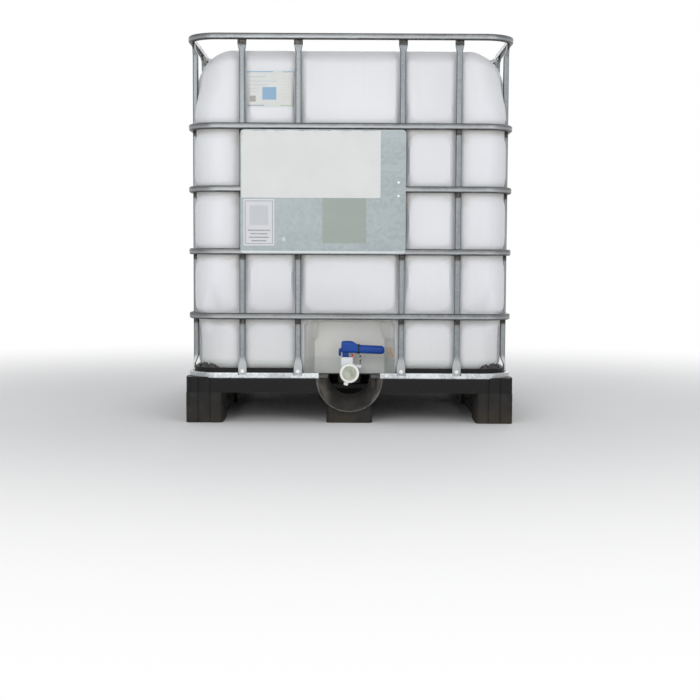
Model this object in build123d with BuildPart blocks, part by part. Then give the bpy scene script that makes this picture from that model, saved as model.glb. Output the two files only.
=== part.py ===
from build123d import *
import os

# Intermediate bulk container: a blow-moulded tank in a welded tube cage on a plastic
# pallet. Millimetres, +Z up, front towards -Y, origin under the middle of the pallet.

# ---------------------------------------------------------------- driving dimensions
# Pallet
pallet_width = 1000.0
pallet_depth = 1200.0
pallet_height = 135.0
pallet_corner_radius = 22.0
deck_thickness = 43.0
corner_leg_width = 112.0
centre_leg_width = 140.0
leg_depth = 150.0
leg_wall = 12.0
leg_top_skin = 8.0
leg_corner_radius = 14.0
leg_hollow_radius = 8.0
centre_leg_setback = 8.0
leg_groove_width = 5.0
leg_groove_depth = 3.0
leg_groove_pitch = 36.0
leg_groove_edge = 39.0
corner_cap_size = 65.0
corner_cap_height = 4.5
lip_height = 31.0
lip_gap_half_width = 165.0
lip_thickness = 10.7

# Scoop for the valve, a cone that narrows towards the tank
scoop_front_radius = 99.0
scoop_back_radius = 62.0
scoop_length = 150.0
scoop_wall = 4.0
sump_pocket_floor = 12.0
sump_pocket_margin = 9.0
sump_pocket_corner = 12.0

# Skids under the legs
skid_width = 90.0
skid_height = 22.0
skid_corner_radius = 6.0
boss_diameter = 34.0
skid_screw_diameter = 8.0
skid_screw_head = 17.0
skid_screw_head_height = 6.0
skid_screw_length = 46.0
skid_screw_recess = 9.0

# Cage, which stands a little inside the pallet's edges
cage_side_gap = 2.0
cage_end_gap = 4.0
cage_width = pallet_width - 2 * cage_side_gap
cage_depth = pallet_depth - 2 * cage_end_gap
ring_tube = 19.0
ring_corner_radius = 95.0
ring_edge_radius = 5.5
ring_heights = {
    "ring_top": 1167.5,
    "ring_upper": 900.7,
    "ring_middle": 711.7,
    "ring_lower": 522.3,
    "ring_bottom": 325.4,
}
upright_width = 18.0
upright_tube_depth = 17.0
upright_inset = 11.0
upright_edge_radius = 5.0
upright_flat_width = 27.0
upright_flat_thickness = 7.0
upright_flat_radius = 1.5
upright_top_flat = 13.0
upright_top_taper = 22.0
foot_flat_width = 26.0
foot_thickness = 5.0
foot_flat_height = 30.0
foot_taper = 24.0
front_uprights = (-328.0, -158.0, 158.0, 328.0)
side_uprights = (-490.0, -245.0, 0.0, 245.0, 490.0)

# Base frame round the foot of the cage
base_frame_height = 18.0
base_frame_depth = 16.0
base_frame_edge_radius = 3.0
screw_head_fillet = 1.5
valve_gap_half_width = 94.0
foot_seat_depth = 8.0
foot_screw_diameter = 6.0
foot_screw_head = 13.0
foot_screw_head_height = 3.5
foot_screw_rise = 11.0
foot_screw_length = 17.5
base_bolt_setback = 18.0
base_bolt_diameter = 6.0
base_bolt_head = 11.0
base_bolt_head_height = 3.5
base_bolt_length = 29.5

# Crossbars over the tank
crossbar_width = 22.0
crossbar_height = 18.0
crossbar_place = 190.0
crossbar_tab = 5.0
crossbar_tab_length = 24.0
crossbar_tab_margin = 2.0
crossbar_bend = 34.0
crossbar_screw_diameter = 6.0
crossbar_screw_head = 12.0
crossbar_screw_head_height = 4.0
crossbar_screw_grip = 8.0

# Tray and tank
tray_sheet = 1.5
tank_gap = 1.5
tank_wall = 2.5
tank_top_z = 1134.0
tank_corner_radius = 105.0
tank_shoulder_radius = 66.0
tank_heel_radius = 52.0
recess_front_half_width = 140.0
recess_back_half_width = 112.0
recess_front_top = 330.0
recess_back_top = 302.0
recess_front_corner = 48.0
recess_back_corner = 30.0
recess_depth = 120.0
sump_width = 116.0
sump_length = 108.0
sump_corner = 18.0
sump_drop = 30.0
well_radius = 126.0
well_depth = 26.0
well_taper = 12.0
corner_pad_reach = 78.0
corner_pad_height = 48.0

# Filling neck and lid
neck_bore = 150.0
neck_wall = 5.0
neck_height = 38.0
lid_wall = 4.0
lid_floor_gap = 6.0
lid_top = 5.0
lid_gap = 0.5
neck_ridge = 1.2
neck_ridge_height = 2.4
neck_ridge_pitch = 12.0
neck_ridge_count = 2
lid_lug_count = 12
lid_lug_width = 14.0
lid_lug_depth = 7.0
lid_lug_corner = 3.0
lid_edge_fillet = 1.5
gasket_height = 3.0
gasket_width = 8.0
vent_diameter = 58.0
vent_head_diameter = 74.0
vent_head_height = 5.0
vent_stem_length = 15.0
vent_gap = 0.4
vent_boss_wall = 6.0
vent_boss_height = 9.0
vent_grip_width = 9.0
vent_grip_height = 2.5
vent_grip_corner = 2.0
vent_gasket_height = 1.5
vent_gasket_width = 5.0

# Outlet valve, its axis along Y
outlet_z = 149.0
outlet_bore = 40.0
spout_diameter = 50.0
spout_length = 22.0
nut_diameter = 61.0
nut_length = 24.0
nut_lip = 4.0
nut_rib_count = 18
nut_rib_depth = 1.5
outlet_gasket_thickness = 2.0
valve_flange_thickness = 4.0
valve_flange_diameter = 52.0
valve_neck_diameter = 47.0
valve_neck_length = 10.0
valve_diameter = 54.0
valve_length = 52.0
outlet_thread_diameter = 50.0
outlet_thread_length = 22.0
thread_ridge = 1.0
thread_ridge_width = 2.4
thread_pitch = 6.0
tower_left = 28.0
tower_right = 12.0
tower_depth = 36.0
tower_top = 196.0
tower_corner_radius = 7.0
stem_diameter = 10.0
stem_gap = 0.05
disc_thickness = 5.0
disc_gap = 0.6
stem_seal_height = 3.0
stem_seal_width = 3.0

# Handle and tamper tie
handle_bottom = 210.0
handle_top = 246.0
handle_head_left = 26.0
handle_head_right = 14.0
handle_head_depth = 34.0
handle_reach = 109.0
grip_height = 26.0
grip_depth = 27.0
grip_start = 26.0
grip_z = 221.0
grip_droop = 3.0
grip_end_step = 1.5
grip_corner_radius = 9.0
handle_neck_margin = 2.0
handle_neck_radius = 5.0
handle_top_fillet = 3.0
handle_screw_diameter = 5.0
handle_screw_head = 10.0
handle_run_gap = 0.6
handle_head_radius = 8.0
stop_left = 22.0
stop_right = 2.0
stop_depth = 16.0
stop_corner_radius = 2.0
hook_width = 9.0
hook_top = 220.0
hook_bottom = 200.0
hook_depth = 14.0
hook_overlap = 1.0
tie_width = 5.0
tie_thickness = 1.6
tie_gap = 0.3
tie_tail_gap = 0.5
tie_tail_corner = 1.0
red_pin_width = 5.0
red_pin_height = 8.0
lug_size = 9.0
lug_drop = 23.0

# Pull-off dust cap
cap_diameter = 60.0
cap_length = 16.0
cap_wall = 2.6
cap_rim = 7.5
cap_window_thickness = 1.6
cap_edge_fillet = 2.2
cap_tab_width = 13.0
cap_tab_length = 9.0
cap_tab_thickness = 3.0
cap_tab_angle = 252.0
cap_tab_corner = 3.0

# Marking plate on the front of the cage
plate_left = -332.0
plate_right = 168.0
plate_bottom = 516.0
plate_top = 890.0
plate_sheet = 1.2
plate_corner_radius = 12.0
bead_inset = 2.5
bead_width = 6.0
bead_height = 1.0
sticker_thickness = 0.3
sticker_width = 421.0
sticker_height = 203.0
sticker_corner_radius = 2.0
placard_width = 94.0
placard_height = 141.0
placard_bottom = 540.0
label_left = -317.0
label_bottom = 960.0
label_width = 145.0
label_height = 106.0
label_corner_radius = 3.0
hook_clip_width = 25.0
hook_clip_sheet = 1.5
hook_clip_places = (-286.0, 128.0)
lock_tab_x = 146.0
lock_tab_width = 22.0
lock_tab_height = 64.0
lock_tab_sheet = 1.2
lock_tab_corner = 3.0
rivet_diameter = 6.0
rivet_head_height = 0.8
rivet_pitch = 40.0

# Named clearances
seat_gap = 0.3

# ---------------------------------------------------------------- worked-out places
deck_bottom = pallet_height - deck_thickness
corner_leg_x = (pallet_width - corner_leg_width) / 2
end_leg_y = (pallet_depth - leg_depth) / 2
half_width = cage_width / 2
half_depth = cage_depth / 2
foot_inset = upright_inset + foot_thickness
lip_inset = foot_inset + seat_gap
base_frame_top = pallet_height + base_frame_height
upright_back = upright_inset + upright_tube_depth
tank_inset = upright_back + tank_gap
tank_width = cage_width - 2 * tank_inset
tank_depth = cage_depth - 2 * tank_inset
tank_front = -tank_depth / 2
tank_floor = pallet_height + tray_sheet
recess_wall_y = tank_front + recess_depth
scoop_end_y = -pallet_depth / 2 + scoop_length
sump_back_y = recess_wall_y + sump_length
ring_top_underside = ring_heights["ring_top"] - ring_tube / 2

# Where the uprights stand: X, Y on their outer face, and the turn about Z that faces out
front_y = half_depth - upright_inset
side_x = half_width - upright_inset
front_stations = [(x, -front_y, 0.0) for x in front_uprights]
back_stations = [(x, front_y, 180.0) for x in front_uprights]
left_stations = [(-side_x, y, -90.0) for y in side_uprights]
right_stations = [(side_x, y, 90.0) for y in side_uprights]
all_stations = front_stations + back_stations + left_stations + right_stations
foot_bottom = base_frame_top - foot_seat_depth
foot_screw_z = foot_bottom + foot_screw_rise
base_bolt_places = [sx * (valve_gap_half_width + base_bolt_setback) for sx in (-1, 1)]
base_bolt_z = pallet_height + base_frame_height / 2

os.makedirs("parts", exist_ok=True)


def save(builder, name):
    """Label a finished piece with its name and write its STEP file."""
    builder.part.label = name
    export_step(builder.part, f"parts/{name}.step")


def mirrored(places):
    """Each place with its mirror images in the middle planes, as X and Y pairs."""
    return [(sx * x, sy * y) for x, y in places for sx in (-1, 1) for sy in (-1, 1)]


# ---------------------------------------------------------------- pallet
leg_columns = [
    (-corner_leg_x, corner_leg_width),
    (0.0, centre_leg_width),
    (corner_leg_x, corner_leg_width),
]
groove_places = [
    pallet_width / 2 - leg_groove_edge,
    pallet_width / 2 - leg_groove_edge - leg_groove_pitch,
]
boss_centres = [(x, y) for x, _ in leg_columns for y in (-end_leg_y, 0.0, end_leg_y)]

with BuildPart() as lip_pilots:
    for x, y, turn in all_stations:
        station = Location((x, y, foot_screw_z), (0, 0, turn))
        with Locations(station * Location((0, 0, 0), (-90, 0, 0))):
            Cylinder(
                foot_screw_diameter / 2,
                foot_screw_length - foot_screw_head_height,
                align=(Align.CENTER, Align.CENTER, Align.MIN),
            )
    for x in base_bolt_places:
        with Locations(Location((x, -half_depth, base_bolt_z), (-90, 0, 0))):
            Cylinder(
                base_bolt_diameter / 2,
                base_bolt_length - base_bolt_head_height,
                align=(Align.CENTER, Align.CENTER, Align.MIN),
            )



def scoop_cone(wall):
    """A cone along Y about the middle of the deck's top edge, widest at the pallet's front."""
    with BuildPart() as cone:
        with BuildSketch(Plane.XZ.offset(pallet_depth / 2)):
            with Locations((0, pallet_height)):
                Circle(scoop_front_radius + wall)
        with BuildSketch(Plane.XZ.offset(-scoop_end_y)):
            with Locations((0, pallet_height)):
                Circle(scoop_back_radius + wall)
        loft()
    return cone.part


def leg_grooves():
    """Slots that run up the front and back faces of the corner legs and of the deck."""
    with BuildPart() as slots:
        with BuildSketch():
            with Locations(*mirrored([(x, pallet_depth / 2) for x in groove_places])):
                Rectangle(leg_groove_width, 2 * leg_groove_depth)
        extrude(amount=pallet_height)
    return slots.part


with BuildPart() as pallet:
    with BuildSketch(Plane.XY.offset(deck_bottom)):
        RectangleRounded(pallet_width, pallet_depth, pallet_corner_radius)
    extrude(amount=deck_thickness)
    # Scoop: the cone's lower half, hollowed after everything above the deck is cut away
    add(scoop_cone(scoop_wall))
    with BuildSketch(Plane.XY.offset(pallet_height)):
        Rectangle(pallet_width, pallet_depth)
    extrude(amount=2 * scoop_front_radius, mode=Mode.SUBTRACT)
    add(scoop_cone(0), mode=Mode.SUBTRACT)
    # Pocket behind the scoop for the tank's sump
    with BuildSketch(Plane.XY.offset(deck_bottom + sump_pocket_floor)):
        with Locations((0, (scoop_end_y + sump_back_y) / 2 + sump_pocket_margin)):
            RectangleRounded(
                sump_width + 2 * sump_pocket_margin,
                sump_back_y - scoop_end_y + 4 * sump_pocket_margin,
                sump_pocket_corner,
            )
    extrude(amount=deck_thickness, mode=Mode.SUBTRACT)
    # Lip inside the base frame, open in front of the valve
    with BuildSketch(Plane.XY.offset(pallet_height)):
        RectangleRounded(
            cage_width - 2 * lip_inset, cage_depth - 2 * lip_inset, ring_corner_radius - lip_inset
        )
        RectangleRounded(
            cage_width - 2 * lip_inset - 2 * lip_thickness,
            cage_depth - 2 * lip_inset - 2 * lip_thickness,
            ring_corner_radius - lip_inset - lip_thickness,
            mode=Mode.SUBTRACT,
        )
        with Locations((0, -pallet_depth / 2)):
            Rectangle(2 * lip_gap_half_width, pallet_depth / 2, mode=Mode.SUBTRACT)
    extrude(amount=lip_height)
    # Raised caps on the corners, outside the base frame
    with BuildSketch(Plane.XY.offset(pallet_height)):
        with Locations(*mirrored([(pallet_width / 2, pallet_depth / 2)])):
            Rectangle(2 * corner_cap_size, 2 * corner_cap_size)
        RectangleRounded(pallet_width, pallet_depth, pallet_corner_radius, mode=Mode.INTERSECT)
        RectangleRounded(
            cage_width + 2 * seat_gap,
            cage_depth + 2 * seat_gap,
            ring_corner_radius + seat_gap,
            mode=Mode.SUBTRACT,
        )
    extrude(amount=corner_cap_height)
    add(leg_grooves(), mode=Mode.SUBTRACT)
    # Pilot holes in the lip for the foot screws and the base frame's bolts
    add(lip_pilots.part, mode=Mode.SUBTRACT)
save(pallet, "pallet")

# Nine legs under the deck, the front centre one set back and shaped to the scoop
with BuildPart() as pallet_legs:
    with BuildSketch():
        for x, width in leg_columns:
            with Locations((x, end_leg_y), (x, 0)):
                RectangleRounded(width, leg_depth, leg_corner_radius)
        with Locations((-corner_leg_x, -end_leg_y), (corner_leg_x, -end_leg_y)):
            RectangleRounded(corner_leg_width, leg_depth, leg_corner_radius)
        with Locations((0, -end_leg_y + centre_leg_setback / 2)):
            RectangleRounded(centre_leg_width, leg_depth - centre_leg_setback, leg_corner_radius)
    extrude(amount=deck_bottom)
    add(scoop_cone(scoop_wall + seat_gap), mode=Mode.SUBTRACT)
    add(leg_grooves(), mode=Mode.SUBTRACT)
    # Hollow from below, except the front centre one, with a boss for each skid screw
    with BuildSketch():
        for x, width in leg_columns:
            rows = (0.0, end_leg_y) if x == 0 else (-end_leg_y, 0.0, end_leg_y)
            for y in rows:
                with Locations((x, y)):
                    RectangleRounded(width - 2 * leg_wall, leg_depth - 2 * leg_wall, leg_hollow_radius)
    extrude(amount=deck_bottom - leg_top_skin, mode=Mode.SUBTRACT)
    with BuildSketch(Plane.XY.offset(skid_height)):
        with Locations(*[c for c in boss_centres if c != (0.0, -end_leg_y)]):
            Circle(boss_diameter / 2)
    extrude(amount=deck_bottom - skid_height)
    # Seats for the skids, which stop behind the end walls of the legs
    with BuildSketch():
        with Locations(*[(x, 0) for x, _ in leg_columns]):
            Rectangle(skid_width + 2 * seat_gap, pallet_depth - 2 * leg_wall)
    extrude(amount=skid_height, mode=Mode.SUBTRACT)
    # Pilot holes for the skid screws
    with BuildSketch(Plane.XY.offset(skid_height)):
        with Locations(*boss_centres):
            Circle(skid_screw_diameter / 2)
    extrude(amount=skid_screw_length + skid_screw_recess - skid_height, mode=Mode.SUBTRACT)
save(pallet_legs, "pallet_legs")

with BuildPart() as pallet_skids:
    with BuildSketch():
        with Locations(*[(x, 0) for x, _ in leg_columns]):
            RectangleRounded(
                skid_width, pallet_depth - 2 * leg_wall - 2 * seat_gap, skid_corner_radius
            )
    extrude(amount=skid_height)
    with Locations(*[(x, y, 0) for x, y in boss_centres]):
        Cylinder(
            skid_screw_head / 2 + seat_gap,
            skid_screw_recess,
            align=(Align.CENTER, Align.CENTER, Align.MIN),
            mode=Mode.SUBTRACT,
        )
        Cylinder(
            skid_screw_diameter / 2 + seat_gap,
            skid_height,
            align=(Align.CENTER, Align.CENTER, Align.MIN),
            mode=Mode.SUBTRACT,
        )
save(pallet_skids, "pallet_skids")

with BuildPart() as skid_screws:
    head_z = skid_screw_recess - skid_screw_head_height
    with BuildSketch(Plane.XY.offset(head_z)):
        with Locations(*boss_centres):
            RegularPolygon(skid_screw_head / 2, 6)
    extrude(amount=skid_screw_head_height)
    with BuildSketch(Plane.XY.offset(head_z)):
        with Locations(*boss_centres):
            Circle(skid_screw_diameter / 2)
    extrude(amount=skid_screw_length)
save(skid_screws, "skid_screws")

# ---------------------------------------------------------------- cage
crossbar_screw_x = half_width - ring_tube / 2
crossbar_screw_places = mirrored([(crossbar_screw_x, crossbar_place)])


def seats(stations, width, depth, tall):
    """Solid blocks that stand where the uprights or their feet press into a ring."""
    with BuildPart() as blocks:
        for x, y, turn in stations:
            with Locations(Location((x, y, 0), (0, 0, turn))):
                Box(width, depth, tall, align=(Align.CENTER, Align.MIN, Align.CENTER))
    return blocks.part


for ring_name, ring_z in ring_heights.items():
    dents = seats(all_stations, upright_width, 2 * ring_tube, 3 * ring_z)
    with BuildPart() as ring:
        with BuildSketch(Plane.XY.offset(ring_z - ring_tube / 2)):
            RectangleRounded(cage_width, cage_depth, ring_corner_radius)
            RectangleRounded(
                cage_width - 2 * ring_tube,
                cage_depth - 2 * ring_tube,
                ring_corner_radius - ring_tube,
                mode=Mode.SUBTRACT,
            )
        extrude(amount=ring_tube)
        fillet(ring.edges(), radius=ring_edge_radius)
        # The uprights are pressed into the ring's inner side; the top ring sits on them
        if ring_name != "ring_top":
            add(dents, mode=Mode.SUBTRACT)
        else:
            with Locations(*[(x, y, ring_top_underside) for x, y in crossbar_screw_places]):
                Cylinder(
                    crossbar_screw_diameter / 2,
                    crossbar_screw_grip,
                    align=(Align.CENTER, Align.CENTER, Align.MIN),
                    mode=Mode.SUBTRACT,
                )
    save(ring, ring_name)


def upright_set(stations, name):
    """Tubes that stand inside the rings, pressed flat at the head and at the foot."""
    foot_top = foot_bottom + foot_flat_height
    tube_bottom = foot_top + foot_taper
    tube_top = ring_top_underside - upright_top_flat - upright_top_taper
    with BuildPart() as one:
        with BuildSketch(Plane.XY.offset(foot_bottom)):
            with Locations((0, foot_thickness / 2)):
                RectangleRounded(foot_flat_width, foot_thickness, upright_flat_radius)
        extrude(amount=foot_flat_height)
        with BuildSketch(Plane.XY.offset(foot_top)):
            with Locations((0, foot_thickness / 2)):
                RectangleRounded(foot_flat_width, foot_thickness, upright_flat_radius)
        with BuildSketch(Plane.XY.offset(tube_bottom)):
            with Locations((0, upright_tube_depth / 2)):
                RectangleRounded(upright_width, upright_tube_depth, upright_edge_radius)
        loft()
        with BuildSketch(Plane.XY.offset(tube_bottom)):
            with Locations((0, upright_tube_depth / 2)):
                RectangleRounded(upright_width, upright_tube_depth, upright_edge_radius)
        extrude(amount=tube_top - tube_bottom)
        with BuildSketch(Plane.XY.offset(tube_top)):
            with Locations((0, upright_tube_depth / 2)):
                RectangleRounded(upright_width, upright_tube_depth, upright_edge_radius)
        with BuildSketch(Plane.XY.offset(tube_top + upright_top_taper)):
            with Locations((0, upright_flat_thickness / 2)):
                RectangleRounded(upright_flat_width, upright_flat_thickness, upright_flat_radius)
        loft()
        with BuildSketch(Plane.XY.offset(tube_top + upright_top_taper)):
            with Locations((0, upright_flat_thickness / 2)):
                RectangleRounded(upright_flat_width, upright_flat_thickness, upright_flat_radius)
        extrude(amount=upright_top_flat)
        # Hole for the foot screw
        with Locations(Location((0, 0, foot_screw_z), (90, 0, 0))):
            Cylinder(foot_screw_diameter / 2, 4 * foot_thickness, mode=Mode.SUBTRACT)
    with BuildPart() as uprights:
        for x, y, turn in stations:
            with Locations(Location((x, y, 0), (0, 0, turn))):
                add(one.part)
    save(uprights, name)


upright_set(front_stations, "uprights_front")
upright_set(back_stations, "uprights_back")
upright_set(left_stations, "uprights_left")
upright_set(right_stations, "uprights_right")

# ---------------------------------------------------------------- base frame and fasteners
with BuildPart() as base_frame:
    with BuildSketch(Plane.XY.offset(pallet_height)):
        RectangleRounded(cage_width, cage_depth, ring_corner_radius)
        RectangleRounded(
            cage_width - 2 * base_frame_depth,
            cage_depth - 2 * base_frame_depth,
            ring_corner_radius - base_frame_depth,
            mode=Mode.SUBTRACT,
        )
    extrude(amount=base_frame_height)
    fillet(base_frame.edges(), radius=base_frame_edge_radius)
    # Open in front of the valve
    with Locations((0, -half_depth, pallet_height)):
        Box(
            2 * valve_gap_half_width,
            4 * base_frame_depth,
            base_frame_height,
            align=(Align.CENTER, Align.CENTER, Align.MIN),
            mode=Mode.SUBTRACT,
        )
    # Seats for the feet of the uprights
    for x, y, turn in all_stations:
        with Locations(Location((x, y, foot_bottom), (0, 0, turn))):
            Box(
                foot_flat_width + 2 * seat_gap,
                4 * base_frame_depth,
                base_frame_height,
                align=(Align.CENTER, Align.CENTER, Align.MIN),
                mode=Mode.SUBTRACT,
            )
    # Bolt holes beside the valve opening
    with Locations(*[Location((x, -half_depth, base_bolt_z), (90, 0, 0)) for x in base_bolt_places]):
        Cylinder(base_bolt_diameter / 2, 4 * base_frame_depth, mode=Mode.SUBTRACT)
save(base_frame, "base_frame")


def flat_screw(head_diameter, head_height, diameter, length):
    """Pan-head screw along +Z with the outside of its head at the origin."""
    with BuildPart() as screw:
        Cylinder(head_diameter / 2, head_height, align=(Align.CENTER, Align.CENTER, Align.MIN))
        fillet(screw.edges().group_by(Axis.Z)[0], radius=screw_head_fillet)
        Cylinder(diameter / 2, length, align=(Align.CENTER, Align.CENTER, Align.MIN))
    return screw.part


foot_screw = flat_screw(
    foot_screw_head, foot_screw_head_height, foot_screw_diameter, foot_screw_length
)
with BuildPart() as foot_screws:
    for x, y, turn in all_stations:
        station = Location((x, y, foot_screw_z), (0, 0, turn))
        with Locations(station * Location((0, -foot_screw_head_height, 0), (-90, 0, 0))):
            add(foot_screw)
save(foot_screws, "foot_screws")

base_bolt = flat_screw(base_bolt_head, base_bolt_head_height, base_bolt_diameter, base_bolt_length)
with BuildPart() as base_bolts:
    for x in base_bolt_places:
        with Locations(Location((x, -half_depth - base_bolt_head_height, base_bolt_z), (-90, 0, 0))):
            add(base_bolt)
save(base_bolts, "base_bolts")

# ---------------------------------------------------------------- crossbars over the tank
crossbar_bottom = tank_top_z + seat_gap
tab_outer = half_width - crossbar_tab_margin
tab_inner = tab_outer - crossbar_tab_length

with BuildPart() as crossbar_form:
    with BuildSketch(Plane.XZ):
        with BuildLine():
            bar_top = crossbar_bottom + crossbar_height
            half_profile = [
                (0, crossbar_bottom),
                (tab_inner - crossbar_bend, crossbar_bottom),
                (tab_inner, ring_top_underside - crossbar_tab),
                (tab_outer, ring_top_underside - crossbar_tab),
                (tab_outer, ring_top_underside),
                (tab_inner - crossbar_tab, ring_top_underside),
                (tab_inner - crossbar_bend, bar_top),
                (0, bar_top),
            ]
            Polyline(*half_profile, close=True)
        make_face()
    extrude(amount=crossbar_width / 2, both=True)
    mirror(about=Plane.YZ)
    with Locations((crossbar_screw_x, 0, ring_top_underside), (-crossbar_screw_x, 0, ring_top_underside)):
        Cylinder(crossbar_screw_diameter / 2, 4 * crossbar_tab, mode=Mode.SUBTRACT)

for bar_name, bar_y in (("crossbar_front", -crossbar_place), ("crossbar_back", crossbar_place)):
    with BuildPart() as crossbar:
        with Locations((0, bar_y, 0)):
            add(crossbar_form.part)
    save(crossbar, bar_name)

crossbar_screw = flat_screw(
    crossbar_screw_head,
    crossbar_screw_head_height,
    crossbar_screw_diameter,
    crossbar_screw_head_height + crossbar_tab + crossbar_screw_grip,
)
with BuildPart() as crossbar_screws:
    head_z = ring_top_underside - crossbar_tab - crossbar_screw_head_height
    with Locations(*[(x, y, head_z) for x, y in crossbar_screw_places]):
        add(crossbar_screw)
save(crossbar_screws, "crossbar_screws")

# ---------------------------------------------------------------- tray under the tank
with BuildPart() as base_tray:
    with BuildSketch(Plane.XY.offset(pallet_height)):
        RectangleRounded(tank_width, tank_depth, tank_corner_radius)
        with Locations((0, (tank_front + sump_back_y) / 2)):
            Rectangle(
                sump_width + 2 * sump_pocket_margin,
                sump_back_y - tank_front + 2 * sump_pocket_margin,
                mode=Mode.SUBTRACT,
            )
    extrude(amount=tray_sheet)
save(base_tray, "base_tray")

# Pads that fill the corners between the lip and the tank's rounded corners
with BuildPart() as corner_pads:
    with BuildSketch(Plane.XY.offset(pallet_height)):
        pad_corner = (tank_width / 2, tank_depth / 2)
        with Locations(*mirrored([pad_corner])):
            Rectangle(2 * corner_pad_reach, 2 * corner_pad_reach)
        RectangleRounded(
            cage_width - 2 * (lip_inset + lip_thickness + seat_gap),
            cage_depth - 2 * (lip_inset + lip_thickness + seat_gap),
            ring_corner_radius - lip_inset - lip_thickness - seat_gap,
            mode=Mode.INTERSECT,
        )
        RectangleRounded(
            tank_width + 2 * seat_gap,
            tank_depth + 2 * seat_gap,
            tank_corner_radius + seat_gap,
            mode=Mode.SUBTRACT,
        )
    extrude(amount=corner_pad_height)
save(corner_pads, "corner_pads")

# ---------------------------------------------------------------- tank
neck_base_z = tank_top_z - well_depth
neck_top_z = neck_base_z + neck_height
neck_radius = neck_bore / 2 + neck_wall
spout_end_y = recess_wall_y - spout_length


def tank_form(inset):
    """The tank's body with its valve recess, sump and top well, shrunk by the inset."""
    with BuildPart() as form:
        with BuildSketch(Plane.XY.offset(tank_floor + inset)):
            RectangleRounded(tank_width - 2 * inset, tank_depth - 2 * inset, tank_corner_radius - inset)
        extrude(amount=tank_top_z - tank_floor - 2 * inset)
        fillet(form.edges().group_by(Axis.Z)[-1], radius=tank_shoulder_radius - inset)
        fillet(form.edges().group_by(Axis.Z)[0], radius=tank_heel_radius - inset)
        # Recess for the valve, narrower at the back, open below
        with BuildSketch(Plane.XZ.offset(-tank_front)):
            RectangleRounded(
                2 * (recess_front_half_width + inset),
                2 * (recess_front_top + inset),
                recess_front_corner,
            )
        with BuildSketch(Plane.XZ.offset(-recess_wall_y - inset)):
            RectangleRounded(
                2 * (recess_back_half_width + inset),
                2 * (recess_back_top + inset),
                recess_back_corner,
            )
        loft(mode=Mode.SUBTRACT)
        # Sump below the floor, behind the recess
        with BuildSketch(Plane.XY.offset(tank_floor - sump_drop + inset)):
            with Locations((0, (recess_wall_y + sump_back_y) / 2)):
                RectangleRounded(sump_width - 2 * inset, sump_length - 2 * inset, sump_corner - inset)
        extrude(amount=sump_drop + tank_heel_radius)
        # Well round the filling neck
        with BuildSketch(Plane.XY.offset(tank_top_z)):
            Circle(well_radius + inset)
        with BuildSketch(Plane.XY.offset(neck_base_z - inset)):
            Circle(well_radius - well_taper + inset)
        loft(mode=Mode.SUBTRACT)
    return form.part


tank_hollow = tank_form(tank_wall)
with BuildPart() as tank:
    add(tank_form(0))
    # Filling neck with its thread ridges
    with BuildSketch(Plane.XY.offset(neck_base_z - tank_wall)):
        Circle(neck_radius)
    extrude(amount=neck_height + tank_wall)
    for turn in range(neck_ridge_count):
        ridge_z = neck_top_z - neck_ridge_pitch * (turn + 0.5)
        with BuildSketch(Plane.XY.offset(ridge_z)):
            Circle(neck_radius + neck_ridge)
        extrude(amount=neck_ridge_height)
    # Outlet spout
    with BuildSketch(Plane.XZ.offset(-recess_wall_y - tank_wall)):
        with Locations((0, outlet_z)):
            Circle(spout_diameter / 2)
    extrude(amount=spout_length + tank_wall)
    add(tank_hollow, mode=Mode.SUBTRACT)
    with BuildSketch(Plane.XY.offset(neck_base_z - 2 * tank_wall)):
        Circle(neck_bore / 2)
    extrude(amount=neck_height + 3 * tank_wall, mode=Mode.SUBTRACT)
    with BuildSketch(Plane.XZ.offset(-recess_wall_y - 2 * tank_wall)):
        with Locations((0, outlet_z)):
            Circle(outlet_bore / 2)
    extrude(amount=spout_length + 3 * tank_wall, mode=Mode.SUBTRACT)
save(tank, "tank")

with BuildPart() as tank_label:
    with BuildSketch(Plane.XZ.offset(-tank_front)):
        with Locations((label_left + label_width / 2, label_bottom + label_height / 2)):
            RectangleRounded(label_width, label_height, label_corner_radius)
    extrude(amount=sticker_thickness)
save(tank_label, "tank_label")

# ---------------------------------------------------------------- lid and vent plug
lid_bore = neck_radius + neck_ridge + lid_gap
lid_radius = lid_bore + lid_wall
lid_bottom_z = neck_base_z + lid_floor_gap
lid_roof_z = neck_top_z + gasket_height + 2 * seat_gap
lid_top_z = lid_roof_z + lid_top
vent_bore = vent_diameter / 2 + vent_gap

with BuildPart() as lid:
    with BuildSketch(Plane.XY.offset(lid_bottom_z)):
        Circle(lid_radius)
        with PolarLocations(lid_radius, lid_lug_count):
            RectangleRounded(2 * lid_lug_depth, lid_lug_width, lid_lug_corner)
    extrude(amount=lid_top_z - lid_bottom_z)
    fillet(lid.faces().sort_by(Axis.Z)[-1].edges(), radius=lid_edge_fillet)
    with BuildSketch(Plane.XY.offset(lid_bottom_z)):
        Circle(lid_bore)
    extrude(amount=lid_roof_z - lid_bottom_z, mode=Mode.SUBTRACT)
    with BuildSketch(Plane.XY.offset(lid_roof_z - vent_boss_height)):
        Circle(vent_bore + vent_boss_wall)
    extrude(amount=vent_boss_height)
    with BuildSketch(Plane.XY.offset(lid_roof_z - vent_boss_height)):
        Circle(vent_bore)
    extrude(amount=2 * vent_boss_height, mode=Mode.SUBTRACT)
save(lid, "lid")

with BuildPart() as lid_gasket:
    with BuildSketch(Plane.XY.offset(neck_top_z + seat_gap)):
        Circle(neck_radius)
        Circle(neck_radius - gasket_width, mode=Mode.SUBTRACT)
    extrude(amount=gasket_height)
save(lid_gasket, "lid_gasket")

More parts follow.
